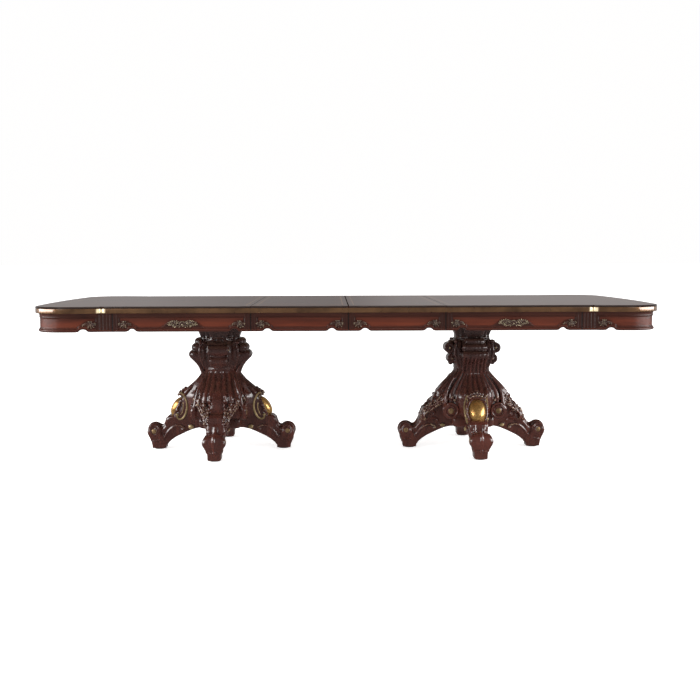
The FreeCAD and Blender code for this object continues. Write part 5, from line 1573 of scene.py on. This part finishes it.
for SIDE, SX in (("left", -1), ("right", 1)):
    cx = SX * 666.0
    turn = 0 if SX < 0 else 1
    names = {0: "right", 1: "back", 2: "left", 3: "front"}
    for k in (0, 2):
        word = names[(k + turn) % 4]
        v, q, cav = LEG
        ob = make_object("%s_scroll_leg_%s" % (SIDE, word), turned(v, k + turn, cx), q, [WOOD_CARVED], 60, attrs={"cav": cav, "gilt": LEG_GILT_AND_GLINT})
        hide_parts("%s_medallion_leg_%s" % (SIDE, word))
        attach(ob, SIDE + "_half")
    v, q, cav = BULB
    ob = make_object(SIDE + "_bulb_and_foliage_legs", turned(v, turn, cx), q, [WOOD_CARVED], 60,
                     attrs={"cav": cav, "gilt": BULB_GILT_AND_GLINT})
    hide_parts("%s_foliage_leg_%s" % (SIDE, names[(1 + turn) % 4]), "%s_foliage_leg_%s" % (SIDE, names[(3 + turn) % 4]))
    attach(ob, SIDE + "_half")
    v, q, cav = SHAFT
    ob = make_object(SIDE + "_carved_shaft", turned(v, turn, cx), q, [WOOD_CARVED], 60, attrs={"cav": cav, "gilt": SHAFT_GILT_AND_GLINT})
    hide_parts(SIDE + "_pedestal_column", SIDE + "_collar")
    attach(ob, SIDE + "_half")
    # gold: ovals, rings, volute eyes
    soup, ovals, eyes = Soup(), Soup(), Soup()
    trim = gold_trim()
    tv = np.concatenate(trim.v)
    tq = np.concatenate(trim.q)
    cv, cq, cp = oval_cabochon()
    for k in (0, 2):
        soup.add(turned(tv, k + turn, cx), tq, trim.p)
        ovals.add(turned(cv, k + turn, cx), cq, cp)
        for sb in (-1, 1):
            dv, dq, dp = dome((141.0, 124.0 * sb, 213), (5.5, 15.0, 15.0), 24, 12)
            eyes.add(turned(dv, k + turn, cx), dq, dp)
            for quarter in (k + turn, k + 1 + turn):
                dv, dq, dp = dome((352.0, 53.5 * sb, 99.0), (13.0, 4.6, 13.0), 20, 10)
                eyes.add(turned(dv, quarter, cx), dq, dp)
            dv, dq, dp = dome((158.0, 54.5 * sb, 124.5), (12.5, 4.6, 8.0), 18, 10)
            soup.add(turned(dv, k + 1 + turn, cx), dq, dp)
            dv, dq, dp = dome((52.0, 121.0 * sb, 535), (4.0, 5.6, 5.6), 14, 8)
            soup.add(turned(dv * [1 if k == 0 else -1, 1, 1], turn, cx), dq[:, ::-1] if k else dq,
                     [p[::-1] for p in dp] if k else dp)
    ob = soup.build(SIDE + "_gilt_details", [GOLD_LINE], 60)
    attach(ob, SIDE + "_half")
    ob = eyes.build(SIDE + "_volute_eyes", [GOLD_EYE], 60)
    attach(ob, SIDE + "_half")
    ob = ovals.build(SIDE + "_oval_cabochons", [GOLD_OVAL], 50)
    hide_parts(SIDE + "_medallions")
    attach(ob, SIDE + "_half")


# --------------------------------------------------------------- apron carvings
def place(verts, at, normal):
    """Local (u, h, z): u along the face, h out of it. normal is the face's outward direction in plan."""
    n = np.array([normal[0], normal[1], 0.0])
    n /= np.linalg.norm(n)
    u = np.array([-n[1], n[0], 0.0])
    return np.array(at) + verts[:, :1] * u + verts[:, 1:2] * n + verts[:, 2:3] * np.array([0, 0, 1.0])


def small_carving(h=0.95):
    """A rosette in a spray of leaves; its tail follows the notch on the +u side."""
    vol = Vol((-30, -3, -26), (42, 13, 24), h)
    vol.ball((0, 0, 0), (16, 4.0, 14), 1.5)
    for k in range(6):
        t = 2 * math.pi * k / 6 + 0.3
        d = np.array([math.cos(t), 0, math.sin(t)])
        side_ = np.array([-math.sin(t), 0, math.cos(t)])
        vol.ball(d * 7.6 + [0, 4.6, 0], (5.6, 3.6, 3.7), 0.8, (d, (0, 1, 0), side_))
        vol.ball(d * 11.6 + [0, 5.2, 0], (2.2, 2.0, 2.4), 0.8, (d, (0, 1, 0), side_))
    vol.ball((0, 6.6, 0), (3.4, 3.2, 3.4), 0.6)
    leaves = [(-14, 6, 2.6, 9, 4), (-17, -2, 3.2, 8, 4), (-12, -11, 3.9, 8, 3.6), (-5, 14.5, 1.7, 8, 3.6), (6, 14, 1.2, 8, 3.6),
              (14, 8, 0.5, 8.5, 4), (-3, -15, 4.6, 7.5, 3.5), (7, -13.5, 5.4, 7.5, 3.5), (-21.5, 4.5, 2.9, 5, 3),
              (0, 18.0, 1.55, 4, 3)]
    for u, z, a, lo, w in leaves:
        d = np.array([math.cos(a), 0, math.sin(a)])
        e = np.array([-math.sin(a), 0, math.cos(a)])
        vol.ball((u, 2.6, z), (lo, 3.4, w), 1.2, (d, (0, 1, 0), e))
        vol.string([np.array([u, 5.6, z]) - d * lo * 0.6, np.array([u, 5.4, z]) + d * lo * 0.6], 0.9, 0.6, 1.0)
    tail = catmull([(10, 2.5, 3), (17, 3.0, 6), (24, 3.0, 4.5), (30, 2.6, 0), (35, 2.0, -6)], 6)
    vol.string(tail, 3.6, 1.5, 1.5)
    for u, z in ((17, 10.5), (23, 9.0), (29, 4.5), (20, 1.5), (26, -1.5)):
        vol.ball((u, 2.2, z), (3.8, 2.4, 2.4), 1.2)
    vol.F[:, 0, :] = np.maximum(vol.F[:, 0, :], 0.3)
    v, q = vol.net()
    return polished(v, q, 1, 3, 0.9)


def large_carving(h=1.15):
    """Shell in the middle, with leafy scrolls running out to both sides."""
    vol = Vol((-h / 2, -3, -22), (74, 13, 22), h)
    vol.ball((0, 0, 0), (19, 4.5, 14), 1.5)
    for k in range(9):
        t = math.pi * (k - 4) / 9.5 + math.pi / 2
        d = np.array([math.cos(t), 0, math.sin(t)])
        e = np.array([-math.sin(t), 0, math.cos(t)])
        vol.ball(d * 9.5 + [0, 4.2, -3], (8.2, 3.4, 2.5), 0.7, (d, (0, 1, 0), e))
    vol.ball((0, 6.4, -4.5), (4.4, 3.6, 4.0), 0.8)
    for u in (0, 5.5, 10.5):
        vol.ball((u, 4.4, -11.5 + u * 0.12), (3.0, 3.0, 3.4), 0.8)
    stem = catmull([(8, 3.2, -6), (19, 3.6, -10), (30, 3.4, -6), (38, 3.2, 3), (48, 3.0, 7), (58, 2.6, 3), (68, 2.0, -3)], 6)
    vol.string(stem, 3.4, 1.5, 1.2)
    curl = catmull([(30, 3.4, -6), (35, 3.6, -12), (42, 3.6, -13), (45, 3.4, -8), (41, 3.4, -5)], 5)
    vol.string(curl, 2.6, 1.4, 1.0)
    curl = catmull([(20, 3.2, 2), (25, 3.6, 9), (32, 3.6, 12), (37, 3.4, 9), (34, 3.2, 5)], 5)
    vol.string(curl, 2.6, 1.4, 1.0)
    leaves = [(18, 9, 1.1, 8, 3.6), (24, 14, 0.6, 6.5, 3), (22, -14, -0.4, 7, 3.2), (31, 3, 0.2, 7, 3.2), (44, 12, 0.9, 7.5, 3.4),
              (52, 11, 0.4, 7, 3.2), (51, -4, -0.9, 7.5, 3.2), (59, -5, -0.5, 6.5, 2.9), (62, 7, 0.3, 6, 2.7), (13, -15, -1.2, 6, 3),
              (33, -17, -0.7, 5, 2.6), (46, 2, -0.2, 6, 2.8), (36, 16, 1.0, 5.5, 2.7)]
    for u, z, a, lo, w in leaves:
        d = np.array([math.cos(a), 0, math.sin(a)])
        e = np.array([-math.sin(a), 0, math.cos(a)])
        vol.ball((u, 2.6, z), (lo, 3.4, w), 1.0, (d, (0, 1, 0), e))
        vol.string([np.array([u, 5.4, z]) - d * lo * 0.6, np.array([u, 5.2, z]) + d * lo * 0.6], 0.9, 0.6, 0.8)
    for u, z, r in ((41, -8, 2.8), (33, 8, 2.8), (69, -2.5, 2.6), (56, 12.5, 2.2), (27, -1, 2.4)):
        vol.ball((u, 5.0, z), r, 0.6)
    vol.F[0] = vol.F[1]
    vol.F[:, 0, :] = np.maximum(vol.F[:, 0, :], 0.3)
    v, q = vol.net()
    v, q = mirror_net(v, q, 0)
    return polished(v, q, 1, 3, 0.9)


SMALL, LARGE = small_carving(), large_carving()
DEEP = FACE - 0.6


def add_small(soup, at, normal, tail):
    """tail = +1 or -1: which way along the face's u direction the tail runs."""
    v, q, cav = SMALL
    w = v * [tail, 1, 0.78]
    soup.add(place(w, at, normal), q, None, flip=tail < 0, cav=cav, gilt=1.0)


for SIDE, SX in (("left", -1), ("right", 1)):
    soup = Soup()
    for sy in (-1, 1):
        # u runs towards +X on the back face and towards -X on the front face: u = (-n.y, n.x)
        for x, notch in ((SX * 509.2, SX * 535.2), (SX * 1048.0, SX * 1011.0)):
            udir = -sy
            add_small(soup, (x, sy * DEEP, 702), (0, sy), 1 if (notch - x) * udir > 0 else -1)
        v, q, cav = LARGE
        soup.add(place(v * [1, 1, 0.86], (SX * 776.0, sy * DEEP, 705.0), (0, sy)), q, cav=cav, gilt=1.0)
        ra = RE - 18.6
        a = math.pi - math.acos((CE[0] - 1201.0) / ra)
        n = (SX * math.cos(a), sy * math.sin(a))
        at = (SX * (CE[0] + ra * math.cos(a)), sy * (CE[1] + ra * math.sin(a)), 702)
        u = np.array([-n[1], n[0]])
        add_small(soup, at, n, 1 if u[0] * SX > 0 else -1)
    rb = REND - 18.6
    for y in (-402.0, 0.0, 402.0):
        b = math.asin(y / rb)
        n = (SX * math.cos(b), math.sin(b))
        at = (SX * (CX[0] + rb * math.cos(b)), rb * math.sin(b), 702)
        u = np.array([-n[1], n[0]])
        if y:
            add_small(soup, at, n, 1 if u[1] * -y > 0 else -1)
        else:
            v, q, cav = LARGE
            w = place(v * [1, 1, 0.86], (at[0], at[1], 705.0), n)
            # bend to the end's curve
            w[:, 0] -= SX * (w[:, 1] ** 2) / (2 * rb)
            soup.add(w, q, cav=cav, gilt=1.0)
    ob = soup.build(SIDE + "_gilt_carvings", [CARVING], 60)
    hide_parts(SIDE + "_apron_carvings")
    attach(ob, SIDE + "_half")
    soup = Soup()
    for sy in (-1, 1):
        for x, notch in ((SX * 49.5, SX * 78.0), (SX * 406.5, SX * 379.2)):
            add_small(soup, (x, sy * DEEP, 702), (0, sy), 1 if (notch - x) * -sy > 0 else -1)
    ob = soup.build(SIDE + "_leaf_gilt_carvings", [CARVING], 60)
    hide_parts(SIDE + "_leaf_apron_carvings")
    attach(ob, SIDE + "_leaf")


# -------------------------------------------------- carried-over construction nodes
def dress(name, mat):
    me = frame["nodes"][name].data
    me.materials.clear()
    me.materials.append(mat)


for name in frame["nodes"]:
    if "bolts" in name:
        dress(name, STEEL)
    elif "latch" in name:
        dress(name, BRASS)
    elif "foot_pads" in name:
        dress(name, FELT)
    elif "slide_rails" in name:
        dress(name, HIDDEN)
    elif "battens" in name or "pedestal_plate" in name:
        dress(name, HIDDEN_Y)


# ------------------------------------------------------------- floor, light, camera
def area_light(name, loc, target, size, power, color=(1, 1, 1)):
    li = bpy.data.lights.new(name, "AREA")
    li.shape = "RECTANGLE"
    li.size, li.size_y = size
    li.energy = power
    li.color = color
    ob = bpy.data.objects.new(name, li)
    ob.location = loc
    ob.rotation_euler = (Vector(target) - Vector(loc)).to_track_quat("-Z", "Y").to_euler()
    SCENE.collection.objects.link(ob)
    return ob


def floor_material():
    m, nt, b = new_material("studio_floor")
    n1 = noise(nt, mapped(nt, (1.5, 1.5, 1.5)), 1.0, 2.0)
    r = ramp(nt, [(0.3, (0.905, 0.902, 0.898)), (0.7, (0.925, 0.922, 0.918))])
    nt.links.new(n1, r.inputs["Fac"])
    nt.links.new(r.outputs[0], b.inputs["Base Color"])
    b.inputs["Roughness"].default_value = 0.9
    b.inputs["Specular IOR Level"].default_value = 0.2
    b.inputs["Emission Color"].default_value = (1, 1, 1, 1)
    b.inputs["Emission Strength"].default_value = 0.62
    return m


me = bpy.data.meshes.new("studio_floor")
me.from_pydata([(-90, -90, -0.0005), (90, -90, -0.0005), (90, 120, -0.0005), (-90, 120, -0.0005)], [], [(0, 1, 2, 3)])
me.materials.append(floor_material())
FLOOR = bpy.data.objects.new("studio_floor", me)
SCENE.collection.objects.link(FLOOR)

world = bpy.data.worlds.new("studio")
SCENE.world = world
world.use_nodes = True
wt = world.node_tree
wt.nodes.clear()
w_out = wt.nodes.new("ShaderNodeOutputWorld")
w_tc = wt.nodes.new("ShaderNodeTexCoord")
w_sep = wt.nodes.new("ShaderNodeSeparateXYZ")
wt.links.new(w_tc.outputs["Generated"], w_sep.inputs[0])
w_lp = wt.nodes.new("ShaderNodeLightPath")


def w_math(op, a, b, clamp=False):
    return math_node(wt, op, a, b, clamp)


# what polished surfaces mirror: a dim studio with a paler strip low behind the table
low = w_math("SUBTRACT", 1.0, w_math("MULTIPLY", w_math("ABSOLUTE", w_sep.outputs["Z"], None), 1.9), True)
behind = w_math("MULTIPLY", w_math("ADD", w_sep.outputs["Y"], 0.15), 1.3, True)
w_wave = wt.nodes.new("ShaderNodeValToRGB")
for i, (pos, val) in enumerate(((0.0, 0.95), (0.40, 0.92), (0.455, 0.62), (0.505, 0.50), (0.535, 0.86), (0.60, 1.0), (1.0, 0.92))):
    e = w_wave.color_ramp.elements[i] if i < 2 else w_wave.color_ramp.elements.new(pos)
    e.position = pos
    e.color = (val, val, val, 1)
wt.links.new(w_math("ADD", w_math("MULTIPLY", w_sep.outputs["X"], 0.5), 0.5), w_wave.inputs["Fac"])
strip = w_math("MULTIPLY", w_math("MULTIPLY", low, behind), w_wave.outputs["Color"])
gloss = w_math("ADD", w_math("MULTIPLY", strip, 0.40), 0.10)
level = w_math("ADD", w_math("MULTIPLY", w_lp.outputs["Is Camera Ray"], 1.0),
               w_math("ADD", w_math("MULTIPLY", w_lp.outputs["Is Diffuse Ray"], 1.02),
                      w_math("MULTIPLY", w_math("MULTIPLY", w_lp.outputs["Is Glossy Ray"], gloss), 1.0)))
w_bg = wt.nodes.new("ShaderNodeBackground")
wt.links.new(mix_color(wt, w_lp.outputs["Is Glossy Ray"], (1.0, 0.996, 0.994), (1.0, 0.950, 0.935)), w_bg.inputs["Color"])
wt.links.new(level, w_bg.inputs["Strength"])
wt.links.new(w_bg.outputs[0], w_out.inputs["Surface"])
FLOOR.visible_glossy = False

# the side lights are flagged off the polished tops, which would mirror them as white patches
TOPS = bpy.data.collections.new("flagged_tops")
for ob in SCENE.objects:
    if ob.type == "MESH" and VENEER.name in [m.name for m in ob.data.materials if m]:
        TOPS.objects.link(ob)
for name, x in (("side_left", -1), ("side_right", 1)):
    lamp = area_light(name, (4.0 * x, -1.3, 1.35), (0.9 * x, -0.2, 0.5), (4.0, 1.6), 165)
    lamp.light_linking.receiver_collection = TOPS
for item in TOPS.collection_objects:
    item.light_linking.link_state = "EXCLUDE"
area_light("front_left", (-2.6, -4.4, 2.3), (-0.5, 0, 0.4), (0.9, 1.6), 13)
area_light("front_right", (2.6, -4.4, 2.3), (0.5, 0, 0.4), (0.9, 1.6), 6)
area_light("overhead", (0, -1.4, 4.0), (0, 0, 0.4), (3.0, 0.7), 40)


def set_camera():
    yaw, pitch, roll = 0.0205, 0.09716, -0.00247
    right = Vector((math.cos(yaw), -math.sin(yaw), 0))
    fwd = Vector((math.sin(yaw), math.cos(yaw), 0))
    zed = Vector((0, 0, 1))
    f2 = math.cos(pitch) * fwd - math.sin(pitch) * zed
    u2 = math.sin(pitch) * fwd + math.cos(pitch) * zed
    r3 = math.cos(roll) * right + math.sin(roll) * u2
    u3 = -math.sin(roll) * right + math.cos(roll) * u2
    cam = bpy.data.cameras.new("photo_view")
    cam.sensor_width = 36.0
    cam.lens = 48.89
    cam.clip_end = 200.0
    ob = bpy.data.objects.new("photo_view", cam)
    m = Matrix(((r3.x, u3.x, -f2.x, -0.084256), (r3.y, u3.y, -f2.y, -5.029342), (r3.z, u3.z, -f2.z, 1.011754), (0, 0, 0, 1)))
    ob.matrix_world = m
    SCENE.collection.objects.link(ob)
    SCENE.camera = ob


set_camera()
SCENE.view_settings.view_transform = "Standard"
SCENE.view_settings.look = "None"
